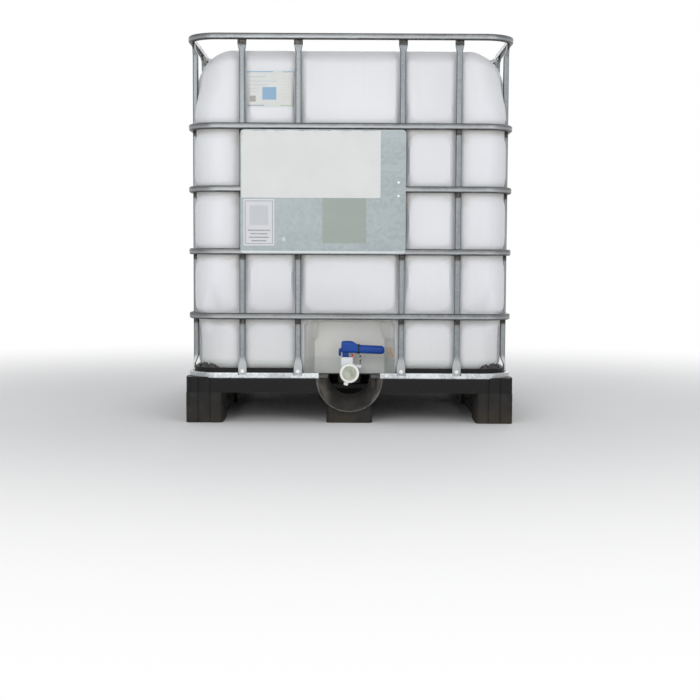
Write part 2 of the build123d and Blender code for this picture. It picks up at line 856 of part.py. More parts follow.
vent_gasket_z = lid_top_z + seat_gap
vent_head_z = vent_gasket_z + vent_gasket_height + seat_gap
with BuildPart() as vent_plug:
    with BuildSketch(Plane.XY.offset(vent_head_z)):
        RegularPolygon(vent_head_diameter / 2, 12)
    extrude(amount=vent_head_height)
    with BuildSketch(Plane.XY.offset(vent_head_z - vent_stem_length)):
        Circle(vent_diameter / 2)
        Circle(vent_diameter / 2 - lid_wall, mode=Mode.SUBTRACT)
    extrude(amount=vent_stem_length)
    # Cross grip on top of the head
    with BuildSketch(Plane.XY.offset(vent_head_z + vent_head_height)):
        RectangleRounded(vent_diameter, vent_grip_width, vent_grip_corner)
        RectangleRounded(vent_grip_width, vent_diameter, vent_grip_corner)
    extrude(amount=vent_grip_height)
save(vent_plug, "vent_plug")

with BuildPart() as vent_gasket:
    with BuildSketch(Plane.XY.offset(vent_gasket_z)):
        Circle(vent_diameter / 2 + vent_gasket_width)
        Circle(vent_diameter / 2 + vent_gap, mode=Mode.SUBTRACT)
    extrude(amount=vent_gasket_height)
save(vent_gasket, "vent_gasket")

# ---------------------------------------------------------------- outlet valve
# The valve's parts lie along -Y, measured from the spout's end face.
seal_face_y = spout_end_y - outlet_gasket_thickness
neck_end_y = seal_face_y - valve_flange_thickness - valve_neck_length
body_end_y = neck_end_y - valve_length
thread_end_y = body_end_y - outlet_thread_length
stem_y = neck_end_y - valve_length / 2
bore_radius = outlet_bore / 2
disc_radius = bore_radius - disc_gap
stem_radius = stem_diameter / 2
outlet_centre = (0, outlet_z)


def disc_along_y(start_y, end_y, radius, mode=Mode.ADD):
    """A round slice on the outlet's axis, from one Y to a lower Y."""
    with BuildSketch(Plane.XZ.offset(-start_y)) as slice_face:
        with Locations(outlet_centre):
            Circle(radius)
    extrude(slice_face.sketch, amount=start_y - end_y, mode=mode)


with BuildPart() as outlet_gasket:
    disc_along_y(spout_end_y, seal_face_y, spout_diameter / 2)
    disc_along_y(spout_end_y, seal_face_y, bore_radius, Mode.SUBTRACT)
save(outlet_gasket, "outlet_gasket")

nut_front_y = seal_face_y - valve_flange_thickness - seat_gap - nut_lip
nut_inner = valve_flange_diameter / 2 + seat_gap
with BuildPart() as union_nut:
    nut_back_y = nut_front_y + nut_length
    disc_along_y(nut_back_y, nut_front_y, nut_diameter / 2 - nut_rib_depth)
    with BuildSketch(Plane.XZ.offset(-nut_back_y)):
        with Locations(outlet_centre):
            with PolarLocations(nut_diameter / 2 - nut_rib_depth, nut_rib_count):
                Rectangle(2 * nut_rib_depth, 2 * nut_rib_depth)
    extrude(amount=nut_length)
    disc_along_y(nut_back_y, nut_front_y + nut_lip, nut_inner, Mode.SUBTRACT)
    disc_along_y(nut_back_y, nut_front_y, valve_neck_diameter / 2 + seat_gap, Mode.SUBTRACT)
save(union_nut, "union_nut")

with BuildPart() as valve_body:
    disc_along_y(seal_face_y, seal_face_y - valve_flange_thickness, valve_flange_diameter / 2)
    disc_along_y(seal_face_y, neck_end_y, valve_neck_diameter / 2)
    disc_along_y(neck_end_y, body_end_y, valve_diameter / 2)
    disc_along_y(body_end_y, thread_end_y, outlet_thread_diameter / 2)
    ridge_y = body_end_y - thread_pitch / 2
    while ridge_y > thread_end_y + thread_ridge_width:
        disc_along_y(ridge_y, ridge_y - thread_ridge_width, outlet_thread_diameter / 2 + thread_ridge)
        ridge_y -= thread_pitch
    # Tower that carries the stem, with its stop block on the left
    with BuildSketch(Plane.XY.offset(outlet_z)):
        with Locations(((tower_right - tower_left) / 2, stem_y)):
            RectangleRounded(tower_right + tower_left, tower_depth, tower_corner_radius)
    extrude(amount=tower_top - outlet_z)
    # Lug for the tamper tie
    lug_outer_x = valve_diameter / 2 + lug_size
    lug_top_z = outlet_z + lug_drop
    with BuildSketch(Plane.XZ.offset(-stem_y)):
        with BuildLine():
            lug_profile = [
                (0, lug_top_z - lug_size),
                (lug_outer_x, lug_top_z - lug_size),
                (lug_outer_x, lug_top_z),
                (0, lug_top_z),
            ]
            Polyline(*lug_profile, close=True)
        make_face()
    extrude(amount=lug_size / 2, both=True)
    # Bore, stem hole and the counterbore for the stem's seal
    disc_along_y(seal_face_y, thread_end_y, bore_radius, Mode.SUBTRACT)
    with BuildSketch(Plane.XY.offset(outlet_z - bore_radius - stem_radius)):
        with Locations((0, stem_y)):
            Circle(stem_radius + stem_gap)
    extrude(amount=tower_top, mode=Mode.SUBTRACT)
    with BuildSketch(Plane.XY.offset(tower_top - stem_seal_height)):
        with Locations((0, stem_y)):
            Circle(stem_radius + stem_seal_width)
    extrude(amount=stem_seal_height, mode=Mode.SUBTRACT)
save(valve_body, "valve_body")

with BuildPart() as stem_seal:
    with BuildSketch(Plane.XY.offset(tower_top - stem_seal_height)):
        with Locations((0, stem_y)):
            Circle(stem_radius + stem_seal_width)
            Circle(stem_radius + stem_gap, mode=Mode.SUBTRACT)
    extrude(amount=stem_seal_height)
save(stem_seal, "stem_seal")

stem_bottom_z = outlet_z - bore_radius - stem_radius
stem_top_z = handle_top - handle_screw_head
with BuildPart() as valve_stem:
    with BuildSketch(Plane.XY.offset(stem_bottom_z)):
        with Locations((0, stem_y)):
            Circle(stem_radius)
    extrude(amount=stem_top_z - stem_bottom_z)
    with BuildSketch(Plane.XY.offset(stem_top_z)):
        with Locations((0, stem_y)):
            Circle(handle_screw_diameter / 2)
    extrude(amount=-2 * handle_screw_head, mode=Mode.SUBTRACT)
save(valve_stem, "valve_stem")

with BuildPart() as valve_disc:
    disc_along_y(stem_y + disc_thickness / 2, stem_y - disc_thickness / 2, disc_radius)
    with BuildSketch(Plane.XY.offset(stem_bottom_z)):
        with Locations((0, stem_y)):
            Circle(stem_radius + disc_thickness / 2)
    extrude(amount=2 * bore_radius + stem_radius, mode=Mode.ADD)
    with BuildPart(mode=Mode.PRIVATE) as bore_ball:
        with Locations((0, stem_y, outlet_z)):
            Sphere(disc_radius)
    add(bore_ball.part, mode=Mode.INTERSECT)
    with BuildSketch(Plane.XY.offset(stem_bottom_z)):
        with Locations((0, stem_y)):
            Circle(stem_radius)
    extrude(amount=2 * bore_radius + stem_diameter, mode=Mode.SUBTRACT)
save(valve_disc, "valve_disc")

# ---------------------------------------------------------------- handle
grip_end_x = handle_reach - grip_height / 2 + grip_end_step
with BuildPart() as valve_handle:
    # Head over the stem
    with BuildSketch(Plane.XY.offset(handle_bottom)):
        with Locations(((handle_head_right - handle_head_left) / 2, stem_y)):
            RectangleRounded(
                handle_head_left + handle_head_right, handle_head_depth, handle_head_radius
            )
    extrude(amount=handle_top - handle_bottom)
    fillet(valve_handle.edges().group_by(Axis.Z)[-1], radius=handle_top_fillet)
    # Neck that slopes down from the head to the grip
    with BuildSketch(Plane.YZ.offset(handle_head_right - handle_head_radius)):
        with Locations((stem_y, (handle_bottom + handle_top) / 2)):
            RectangleRounded(
                handle_head_depth - 2 * handle_neck_margin,
                handle_top - handle_bottom - 2 * handle_neck_margin,
                handle_neck_radius,
            )
    with BuildSketch(Plane.YZ.offset(grip_start)):
        with Locations((stem_y, grip_z)):
            RectangleRounded(grip_depth, grip_height, grip_corner_radius)
    loft()
    # Grip with its round end
    with BuildSketch(Plane.YZ.offset(grip_start)):
        with Locations((stem_y, grip_z)):
            RectangleRounded(grip_depth, grip_height, grip_corner_radius)
    with BuildSketch(Plane.YZ.offset(grip_end_x)):
        with Locations((stem_y, grip_z - grip_droop)):
            RectangleRounded(grip_depth, grip_height, grip_corner_radius)
    loft()
    with BuildSketch(Plane.XZ.offset(-stem_y)):
        with Locations((grip_end_x, grip_z - grip_droop)):
            Circle(grip_height / 2 - grip_end_step)
    extrude(amount=grip_depth / 2 - 2 * grip_end_step, both=True)
    # Stop block and hook below the head
    with BuildSketch(Plane.XY.offset(tower_top + handle_run_gap)):
        with Locations((-(stop_left + stop_right) / 2, stem_y)):
            RectangleRounded(stop_left - stop_right, stop_depth, stop_corner_radius)
    extrude(amount=handle_bottom - tower_top)
    hook_x = -handle_head_left - hook_width / 2 + hook_overlap
    with BuildSketch(Plane.XY.offset(hook_bottom)):
        with Locations((hook_x, stem_y)):
            RectangleRounded(hook_width, hook_depth, stop_corner_radius)
    extrude(amount=hook_top - hook_bottom)
    # Socket for the stem and the seat of its screw
    with BuildSketch(Plane.XY.offset(tower_top)):
        with Locations((0, stem_y)):
            Circle(stem_radius)
    extrude(amount=stem_top_z - tower_top, mode=Mode.SUBTRACT)
    with BuildSketch(Plane.XY.offset(stem_top_z)):
        with Locations((0, stem_y)):
            Circle(handle_screw_diameter / 2)
    extrude(amount=handle_top, mode=Mode.SUBTRACT)
    with BuildSketch(Plane.XY.offset(handle_top - handle_screw_diameter)):
        with Locations((0, stem_y)):
            Circle(handle_screw_head / 2)
    extrude(amount=handle_top, mode=Mode.SUBTRACT)
save(valve_handle, "valve_handle")

with BuildPart() as handle_screw:
    screw_seat_z = handle_top - handle_screw_diameter
    with BuildSketch(Plane.XY.offset(screw_seat_z)):
        with Locations((0, stem_y)):
            Circle(handle_screw_head / 2)
    extrude(amount=handle_screw_diameter / 2)
    with BuildSketch(Plane.XY.offset(stem_top_z - handle_screw_head)):
        with Locations((0, stem_y)):
            Circle(handle_screw_diameter / 2)
    extrude(amount=screw_seat_z - stem_top_z + handle_screw_head)
save(handle_screw, "handle_screw")

# Red lock pin on the tower's right side
with BuildPart() as lock_pin:
    with BuildSketch(Plane.XY.offset(tower_top)):
        with Locations((tower_right - red_pin_width / 2, stem_y)):
            RectangleRounded(red_pin_width, red_pin_width, tie_tail_corner)
    extrude(amount=red_pin_height)
save(lock_pin, "lock_pin")

# Tamper tie: a band round the handle and its tail down to the lug
tie_inner_depth = grip_depth + 2 * tie_gap
tie_inner_height = grip_height + 2 * tie_gap
tie_bottom_z = grip_z - tie_inner_height / 2 - tie_thickness
with BuildPart() as tie_band:
    with BuildSketch(Plane.YZ.offset(grip_start + tie_gap)):
        with Locations((stem_y, grip_z)):
            RectangleRounded(
                tie_inner_depth + 2 * tie_thickness,
                tie_inner_height + 2 * tie_thickness,
                grip_corner_radius + tie_thickness,
            )
            RectangleRounded(
                tie_inner_depth, tie_inner_height, grip_corner_radius, mode=Mode.SUBTRACT
            )
    extrude(amount=tie_width)
save(tie_band, "tie_band")

with BuildPart() as tie_tail:
    tail_top_z = tie_bottom_z - tie_tail_gap
    with BuildSketch(Plane.XY.offset(lug_top_z)):
        with Locations((lug_outer_x - tie_width / 2, stem_y)):
            RectangleRounded(tie_width, tie_width, tie_tail_corner)
    extrude(amount=tail_top_z - lug_top_z)
save(tie_tail, "tie_tail")

# ---------------------------------------------------------------- dust cap
cap_back_y = thread_end_y - seat_gap + cap_length
cap_seat_y = thread_end_y - seat_gap
cap_front_y = cap_seat_y - cap_wall
cap_window_radius = cap_diameter / 2 - cap_rim
with BuildPart() as dust_cap:
    disc_along_y(cap_back_y, cap_front_y, cap_diameter / 2)
    fillet(dust_cap.edges().group_by(Axis.Y)[0], radius=cap_edge_fillet)
    # Pull tab, turned a little to the left of straight down
    with BuildSketch(Plane.XZ.offset(-cap_front_y - cap_tab_thickness)):
        with Locations(outlet_centre):
            with PolarLocations(cap_diameter / 2, 1, start_angle=cap_tab_angle):
                RectangleRounded(2 * cap_tab_length, cap_tab_width, cap_tab_corner)
    extrude(amount=-cap_tab_thickness)
    disc_along_y(
        cap_back_y, cap_seat_y, outlet_thread_diameter / 2 + thread_ridge + tie_gap, Mode.SUBTRACT
    )
    disc_along_y(cap_back_y, cap_front_y, cap_window_radius, Mode.SUBTRACT)
save(dust_cap, "dust_cap")

with BuildPart() as cap_window:
    disc_along_y(cap_seat_y, cap_seat_y - cap_window_thickness, cap_window_radius)
save(cap_window, "cap_window")

# ---------------------------------------------------------------- marking plate
plate_back_y = -half_depth - seat_gap
plate_front_y = plate_back_y - plate_sheet
plate_width = plate_right - plate_left
plate_height = plate_top - plate_bottom
plate_centre = ((plate_left + plate_right) / 2, (plate_bottom + plate_top) / 2)
with BuildPart() as marking_plate:
    with BuildSketch(Plane.XZ.offset(-plate_back_y)):
        with Locations(plate_centre):
            RectangleRounded(plate_width, plate_height, plate_corner_radius)
    extrude(amount=plate_sheet)
    # Stiffening bead pressed forward round the edge
    with BuildSketch(Plane.XZ.offset(-plate_front_y)):
        with Locations(plate_centre):
            RectangleRounded(
                plate_width - 2 * bead_inset,
                plate_height - 2 * bead_inset,
                plate_corner_radius - bead_inset,
            )
            RectangleRounded(
                plate_width - 2 * bead_inset - 2 * bead_width,
                plate_height - 2 * bead_inset - 2 * bead_width,
                plate_corner_radius - bead_inset - bead_width,
                mode=Mode.SUBTRACT,
            )
    extrude(amount=bead_height)
save(marking_plate, "marking_plate")

with BuildPart() as blank_sticker:
    with BuildSketch(Plane.XZ.offset(-plate_front_y + bead_height)):
        sticker_centre = (
            plate_left + bead_inset + sticker_width / 2,
            plate_top - bead_inset - sticker_height / 2,
        )
        with Locations(sticker_centre):
            RectangleRounded(sticker_width, sticker_height, sticker_corner_radius)
    extrude(amount=sticker_thickness)
save(blank_sticker, "blank_sticker")

with BuildPart() as placard:
    with BuildSketch(Plane.XZ.offset(-plate_front_y)):
        placard_left = plate_left + bead_inset + bead_width + seat_gap
        with Locations((placard_left + placard_width / 2, placard_bottom + placard_height / 2)):
            RectangleRounded(placard_width, placard_height, sticker_corner_radius)
    extrude(amount=sticker_thickness)
save(placard, "placard")

# Hooks welded to the back of the plate, closed round the middle ring
ring_middle_z = ring_heights["ring_middle"]
with BuildPart() as plate_hooks:
    hook_inner = ring_tube + 2 * seat_gap
    for x in hook_clip_places:
        with BuildSketch(Plane.YZ.offset(x)):
            with Locations((-half_depth + ring_tube / 2, ring_middle_z)):
                Rectangle(hook_inner + hook_clip_sheet, hook_inner + 2 * hook_clip_sheet)
        extrude(amount=hook_clip_width / 2, both=True)
    with BuildSketch(Plane.YZ):
        with Locations((-half_depth + ring_tube / 2, ring_middle_z)):
            Rectangle(hook_inner, hook_inner)
        with Locations((-half_depth - hook_inner / 2 - seat_gap, ring_middle_z)):
            Rectangle(hook_inner, 2 * hook_inner)
    extrude(amount=cage_width / 2, both=True, mode=Mode.SUBTRACT)
save(plate_hooks, "plate_hooks")

# Lock tab at the plate's right edge, riveted on
lock_tab_front_y = plate_front_y - lock_tab_sheet
rivet_heights = [ring_middle_z + side * rivet_pitch / 2 for side in (-1, 1)]
with BuildPart() as lock_tab:
    with BuildSketch(Plane.XZ.offset(-plate_front_y)):
        with Locations((lock_tab_x, ring_middle_z)):
            RectangleRounded(lock_tab_width, lock_tab_height, lock_tab_corner)
            with Locations(*[(0, z - ring_middle_z) for z in rivet_heights]):
                Circle(rivet_diameter / 4, mode=Mode.SUBTRACT)
    extrude(amount=lock_tab_sheet)
save(lock_tab, "lock_tab")

with BuildPart() as plate_rivets:
    with BuildSketch(Plane.XZ.offset(-plate_front_y)):
        with Locations(*[(lock_tab_x, z) for z in rivet_heights]):
            Circle(rivet_diameter / 4)
    extrude(amount=lock_tab_sheet)
    with BuildSketch(Plane.XZ.offset(-lock_tab_front_y)):
        with Locations(*[(lock_tab_x, z) for z in rivet_heights]):
            Circle(rivet_diameter / 2)
    extrude(amount=rivet_head_height)
save(plate_rivets, "plate_rivets")
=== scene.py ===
import math

import bpy
import numpy as np
from mathutils import Matrix, Vector


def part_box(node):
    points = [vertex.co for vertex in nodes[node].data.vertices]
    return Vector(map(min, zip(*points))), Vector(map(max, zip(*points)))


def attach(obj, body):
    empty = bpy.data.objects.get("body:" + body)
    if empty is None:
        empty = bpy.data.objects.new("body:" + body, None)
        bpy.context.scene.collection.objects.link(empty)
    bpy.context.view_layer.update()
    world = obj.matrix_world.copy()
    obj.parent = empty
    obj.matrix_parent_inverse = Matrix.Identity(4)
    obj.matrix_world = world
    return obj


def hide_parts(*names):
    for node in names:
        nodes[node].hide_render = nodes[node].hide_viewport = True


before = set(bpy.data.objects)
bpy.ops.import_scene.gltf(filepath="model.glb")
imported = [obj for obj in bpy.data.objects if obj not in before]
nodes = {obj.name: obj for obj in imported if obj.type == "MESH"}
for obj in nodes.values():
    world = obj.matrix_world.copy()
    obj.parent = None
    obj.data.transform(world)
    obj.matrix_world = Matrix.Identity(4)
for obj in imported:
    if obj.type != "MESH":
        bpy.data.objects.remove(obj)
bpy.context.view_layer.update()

# ---------------------------------------------------------------- camera
# A long lens a little above the pallet, looking level with the tank's lower half, turned
# slightly about its own axis as a hand-held camera is.
CAMERA_PLACE = (0.0015, -4.551, 0.5175)
CAMERA_DIP = math.radians(4.245)
CAMERA_ROLL = math.radians(0.27)
SENSOR = 36.0
FOCAL_PIXELS = 1300.0
PICTURE_PIXELS = 700.0

lens = bpy.data.cameras.new("camera")
lens.sensor_width = SENSOR
lens.lens = SENSOR * FOCAL_PIXELS / PICTURE_PIXELS
lens.clip_end = 200.0
camera = bpy.data.objects.new("camera", lens)
bpy.context.collection.objects.link(camera)
camera.matrix_world = (
    Matrix.Translation(CAMERA_PLACE)
    @ Matrix.Rotation(math.pi / 2 - CAMERA_DIP, 4, "X")
    @ Matrix.Rotation(CAMERA_ROLL, 4, "Z")
)
bpy.context.scene.camera = camera
bpy.context.scene.view_settings.view_transform = "Standard"


# ---------------------------------------------------------------- studio
# A pale floor that runs out to white, an even white surround, and three large soft lamps,
# two in front and one behind, so that tubes get a long highlight and the tank is evenly lit.
class Wire:
    """An output socket in a material's tree. Sums on wires add Math nodes to the tree."""

    def __init__(self, tree, socket):
        self.tree = tree
        self.socket = socket

    def node(self, kind, settings=None, out=0, **inputs):
        """Adds a node of a kind, applies its settings, then its inputs, and gives one output.

        An input's name is the socket's, with _ for a space, or i0, i1 ... for its index.
        """
        made = self.tree.nodes.new("ShaderNode" + kind)
        for name, value in (settings or {}).items():
            setattr(made, name, value)
        for name, value in inputs.items():
            key = int(name[1:]) if name[0] == "i" and name[1:].isdigit() else name.replace("_", " ")
            plug(self.tree, made.inputs[key], value)
        return Wire(self.tree, made.outputs[out])

    def math(self, operation, *others):
        """A Math node on this wire and others, or on numbers."""
        inputs = {f"i{k}": value for k, value in enumerate((self, *others))}
        return self.node("Math", {"operation": operation}, **inputs)

    def __add__(self, other):
        return self.math("ADD", other)

    def __sub__(self, other):
        return self.math("SUBTRACT", other)

    def __rsub__(self, other):
        return self.node("Math", {"operation": "SUBTRACT"}, i0=other, i1=self)

    def __mul__(self, other):
        return self.math("MULTIPLY", other)

    def __truediv__(self, other):
        return self.math("DIVIDE", other)

    def __pow__(self, other):
        return self.math("POWER", other)

    def __abs__(self):
        return self.math("ABSOLUTE")

    __radd__ = __add__
    __rmul__ = __mul__

    def step(self, low, high):
        """0 below low, 1 above high, and smooth between, or falling when low is over high."""
        return self.node(
            "MapRange", {"interpolation_type": "SMOOTHSTEP"}, Value=self, From_Min=low, From_Max=high
        )

    def noise(self, scale, detail=3.0, rough=0.5, stretch=(1, 1, 1)):
        """Noise from 0 to 1 on this wire's coordinates, which may be stretched along an axis."""
        place = self.node("Mapping", Vector=self, Scale=stretch)
        return self.node("TexNoise", Vector=place, Scale=scale, Detail=detail, Roughness=rough)

    def axis(self, name):
        """The X, Y or Z part of this wire's vector."""
        return self.node("SeparateXYZ", out="XYZ".index(name), Vector=self)


def plug(tree, socket, value):
    """Links a wire to a socket, or sets the socket to a number or a colour."""
    if isinstance(value, Wire):
        tree.links.new(value.socket, socket)
    elif isinstance(value, tuple) and len(value) == 3 and socket.type == "RGBA":
        socket.default_value = (*value, 1.0)
    else:
        socket.default_value = value


def seen_straight(wire):
    """1 for rays from the camera, glossy rays and transmitted rays, and 0 for the others."""
    rays = wire.node("LightPath") + wire.node("LightPath", out=3) + wire.node("LightPath", out=6)
    return rays.math("MINIMUM", 1.0)


def start_finish(name):
    """Starts a material and gives it with the wire of its Object coordinates."""
    finish = bpy.data.materials.new(name)
    finish.use_nodes = True
    coordinates = finish.node_tree.nodes.new("ShaderNodeTexCoord")
    return finish, Wire(finish.node_tree, coordinates.outputs["Object"])


def coat_with(finish, **inputs):
    """Sets the sockets of the material's own shader, Base_Color and so on."""
    shader = finish.node_tree.nodes["Principled BSDF"]
    for name, value in inputs.items():
        plug(finish.node_tree, shader.inputs[name.replace("_", " ")], value)
    return finish


FLOOR_SIZE = 60.0
FLOOR_LEVEL = -0.0005
FLOOR_COLOUR = (0.86, 0.86, 0.86)
FADE_START = 1.0
FADE_END = 3.2

floor_mesh = bpy.data.meshes.new("floor")
floor_mesh.from_pydata(
    [
        (x * FLOOR_SIZE / 2, y * FLOOR_SIZE / 2, FLOOR_LEVEL)
        for x, y in ((-1, -1), (1, -1), (1, 1), (-1, 1))
    ],
    [],
    [(0, 1, 2, 3)],
)
floor = bpy.data.objects.new("floor", floor_mesh)
bpy.context.collection.objects.link(floor)

floor_finish, place = start_finish("floor")
coat_with(floor_finish, Base_Color=FLOOR_COLOUR, Roughness=0.9, Specular_IOR_Level=0.1)
away = place.node("VectorMath", {"operation": "LENGTH"}, out=1, i0=place)
fade = away.step(FADE_START, FADE_END) * seen_straight(place)
glow = place.node("Emission", Color=(1.0, 1.0, 1.0), Strength=1.0)
shaded = Wire(place.tree, place.tree.nodes["Principled BSDF"].outputs[0])
floor_look = place.node("MixShader", i0=fade, i1=shaded, i2=glow)
place.tree.links.new(floor_look.socket, place.tree.nodes["Material Output"].inputs["Surface"])
floor.data.materials.append(floor_finish)

SURROUND_LIGHT = 0.56
world = bpy.data.worlds.new("surround")
bpy.context.scene.world = world
world.use_nodes = True
sky = Wire(world.node_tree, None)  # stands for the tree alone, to add nodes to it
backdrop = sky.node("Background", Color=(1.0, 1.0, 1.0), Strength=1.0)
surround = sky.node("Background", Color=(0.97, 0.98, 1.0), Strength=SURROUND_LIGHT)
world_look = sky.node("MixShader", i0=seen_straight(sky), i1=surround, i2=backdrop)
sky.tree.links.new(world_look.socket, sky.tree.nodes["World Output"].inputs["Surface"])


def soft_lamp(name, place, aim, size, power):
    """A square area lamp at a place, turned so that it shines at another place."""
    data = bpy.data.lights.new(name, "AREA")
    data.size = size
    data.energy = power
    lamp = bpy.data.objects.new(name, data)
    bpy.context.collection.objects.link(lamp)
    turned = (Vector(aim) - Vector(place)).to_track_quat("-Z", "Y").to_matrix().to_4x4()
    lamp.matrix_world = Matrix.Translation(place) @ turned


soft_lamp("key_lamp", (-1.3, -5.4, 1.75), (0.0, 0.0, 0.5), 3.3, 98.0)
soft_lamp("fill_lamp", (2.9, -4.6, 1.55), (0.0, 0.0, 0.5), 3.0, 54.0)
soft_lamp("back_lamp", (0.5, 5.0, 2.6), (0.0, 0.0, 0.6), 3.4, 74.0)


# ---------------------------------------------------------------- cage
# Welded rings and uprights of zinc-coated steel tube with a faint spangle. Each ring has
# painted shade along its top and underside and a painted highlight on its lower face; the
# uprights have painted shade in the dent below each ring and a painted highlight at the foot.
RING_NODES = ("ring_bottom", "ring_lower", "ring_middle", "ring_upper", "ring_top")
UPRIGHT_NODES = ("uprights_front", "uprights_back", "uprights_left", "uprights_right")
RING_HALF = 0.0095
ring_heights = [0.5 * (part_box(name)[0][2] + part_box(name)[1][2]) for name in RING_NODES]


def blend_colours(factor, low, high):
    """One colour where the factor is 0 and the other where it is 1."""
    return factor.node("Mix", {"data_type": "RGBA"}, out=2, i0=factor, i6=low, i7=high)


def layered(base, *layers):
    """A colour with others laid over it in turn, each given by its share and its colour."""
    for share, colour in layers:
        base = blend_colours(share, base, colour)
    return base


def bumped(height, strength, distance):
    """A Bump node's normal from a height wire."""
    return height.node("Bump", Height=height, Strength=strength, Distance=distance)


def dress(finish, *names):
    """Gives a finish to pieces carried over from the frame."""
    for name in names:
        for held in nodes[name].material_slots:
            held.material = finish


def zinc_coat(name, dull, bright, gloss=0.34):
    """Hot-dip zinc: small crystals, long dull streaks and patches of grime."""
    finish, place = start_finish(name)
    crystals = place.node("TexVoronoi", out=1, Vector=place, Scale=150.0)
    crystals = crystals.node("SeparateColor", Color=crystals)
    streaks = place.noise(9.0, 4.0, 0.6, (1, 1, 0.35))
    dirt = place.noise(3.1, 5.0, 0.65).step(0.50, 0.74)
    zinc = (crystals * 0.2 + streaks * 0.8).step(0.28, 0.76)
    colour = blend_colours(zinc, dull, bright)
    coat_with(
        finish,
        Metallic=0.8,
        Roughness=gloss + crystals * 0.1 + dirt * 0.15,
        Normal=bumped(streaks + crystals * 0.1, 0.25, 0.0006),
    )
    return finish, place, blend_colours(dirt * 0.4, colour, (0.22, 0.222, 0.215))


def ring_offset(place):
    """Height above the nearest ring's middle, in half tubes, and that only near a ring."""
    height = place.axis("Z")
    nearest = height - ring_heights[0]
    for level in ring_heights[1:]:
        other = height - level
        closer = abs(other).math("LESS_THAN", abs(nearest))
        nearest = nearest.node("Mix", i0=closer, i2=nearest, i3=other)
    return nearest / RING_HALF


ring_finish, place, colour = zinc_coat("ring_zinc", (0.12, 0.124, 0.126), (0.20, 0.208, 0.212))
offset = ring_offset(place)
wander = (place.noise(28.0, 2.0) - 0.5) * 0.5
# Painted shade on each ring's top and underside and a painted highlight on its lower face, laid by height
# about the ring's middle.
painted_top_shade = (offset + wander).step(0.45, 0.95)
painted_under_shade = (offset + wander).step(-0.55, -0.98)
painted_highlight_band = (offset + wander * 0.6).step(0.25, -0.15) * (offset + wander).step(-0.85, -0.45)
colour = layered(
    colour,
    (painted_highlight_band * 0.55, (0.36, 0.378, 0.39)),
    (painted_top_shade * 0.85, (0.07, 0.072, 0.072)),
    (painted_under_shade * 0.9, (0.05, 0.05, 0.048)),
)
dress(coat_with(ring_finish, Base_Color=colour), *RING_NODES)

upright_finish, place, colour = zinc_coat("upright_zinc", (0.15, 0.166, 0.178), (0.23, 0.25, 0.262))
offset = ring_offset(place)
# Painted shade in the dent just below each ring, where the upright is pressed in at the weld.
dent_painted_shade = offset.step(-2.9, -2.3) * offset.step(-0.2, -0.9)
weld_spatter = place.noise(180.0, 2.0).step(0.42, 0.62)
weld_spatter = weld_spatter * offset.step(-5.0, -2.4) * offset.step(0.0, -1.0)
# Painted highlight: each upright's flattened foot is painted paler.
foot = place.axis("Z").step(0.205, 0.185)
colour = layered(
    colour,
    (foot * 0.6, (0.42, 0.44, 0.45)),
    (dent_painted_shade * 0.94, (0.012, 0.012, 0.012)),
    (weld_spatter * 0.5, (0.12, 0.115, 0.105)),
)
dress(coat_with(upright_finish, Base_Color=colour), *UPRIGHT_NODES)

base_finish, place, colour = zinc_coat("base_frame_zinc", (0.36, 0.38, 0.39), (0.68, 0.71, 0.72), 0.3)
coat_with(base_finish, Base_Color=colour, Metallic=0.55)
dress(base_finish, "base_frame", "crossbar_front", "crossbar_back")

# Zinc-plated screws and bolts, brighter than the tubes and a little stained.
screw_finish, place = start_finish("zinc_fastener")
stain = place.noise(90.0, 3.0)
coat_with(
    screw_finish,
    Base_Color=blend_colours(stain, (0.45, 0.45, 0.44), (0.78, 0.79, 0.80)),
    Metallic=0.85,
    Roughness=0.25 + stain * 0.25,
    Normal=bumped(stain, 0.2, 0.0003),
)
dress(screw_finish, "foot_screws", "base_bolts", "crossbar_screws", "skid_screws")
dress(screw_finish, "plate_rivets", "handle_screw")


# ---------------------------------------------------------------- tank
# Blow-moulded polyethylene, milky and a little translucent. Each panel stands out between
# the cage's tubes, and the front and top are pressed in for the valve and the filling neck.
TANK_WALL = 0.0025
CORNER = 0.105
SHOULDER_FRONT = 0.046
SHOULDER_SIDE = 0.098
HEEL = 0.052
RECESS_HALF_WIDTH = 0.140
RECESS_TOP = 0.330
RECESS_CORNER = 0.048
RECESS_TAPER = 0.028
RECESS_DEPTH = 0.120
SUMP_DROP = 0.030
WELL_RADIUS = 0.126
WELL_FLOOR_RADIUS = 0.114
WELL_DEPTH = 0.026
NECK_BORE = 0.075
NECK_OUTER = 0.080
NECK_HEIGHT = 0.038
PANEL_RISE = 0.0052
PANEL_CROWN = 0.0026
PANEL_CROWN_REACH = 0.12
PANEL_EDGE = 0.017
PANEL_CORNER = 0.046
PANEL_TOP_GAP = 0.019
PANEL_FOOT_GAP = 0.002
BAND_EDGE = 0.006
BAND_REACH = 0.075
BAND_FADE = 0.02
BULGE_REACH = (0.033, 0.0315)
BULGE_TIGHTER = 0.025
BULGE_GROOVE = 0.008
BULGE_EASE = 0.020
BULGE_FOOT, BULGE_FOOT_FADE = 0.335, 0.10
BULGE_FOOT_LOWER_AT_SIDE = 0.085
BULGE_TOP, BULGE_TOP_FADE = 1.055, 0.13
UPRIGHT_CLEAR = 0.0105
UPRIGHT_EASE = 0.014
SIDE_FROM, SIDE_EASE = 0.35, 0.3
CALM_SHOULDER = 1.3
CALM_HEEL = 1.6
FRONT_UPRIGHTS = (-0.328, -0.158, 0.158, 0.328)
SIDE_UPRIGHTS = (-0.490, -0.245, 0.0, 0.245, 0.490)
LATHE_POINTS = 72


def corners(box):
    """The low and the high corner of a box in the frame."""
    return (np.array(corner) for corner in box)


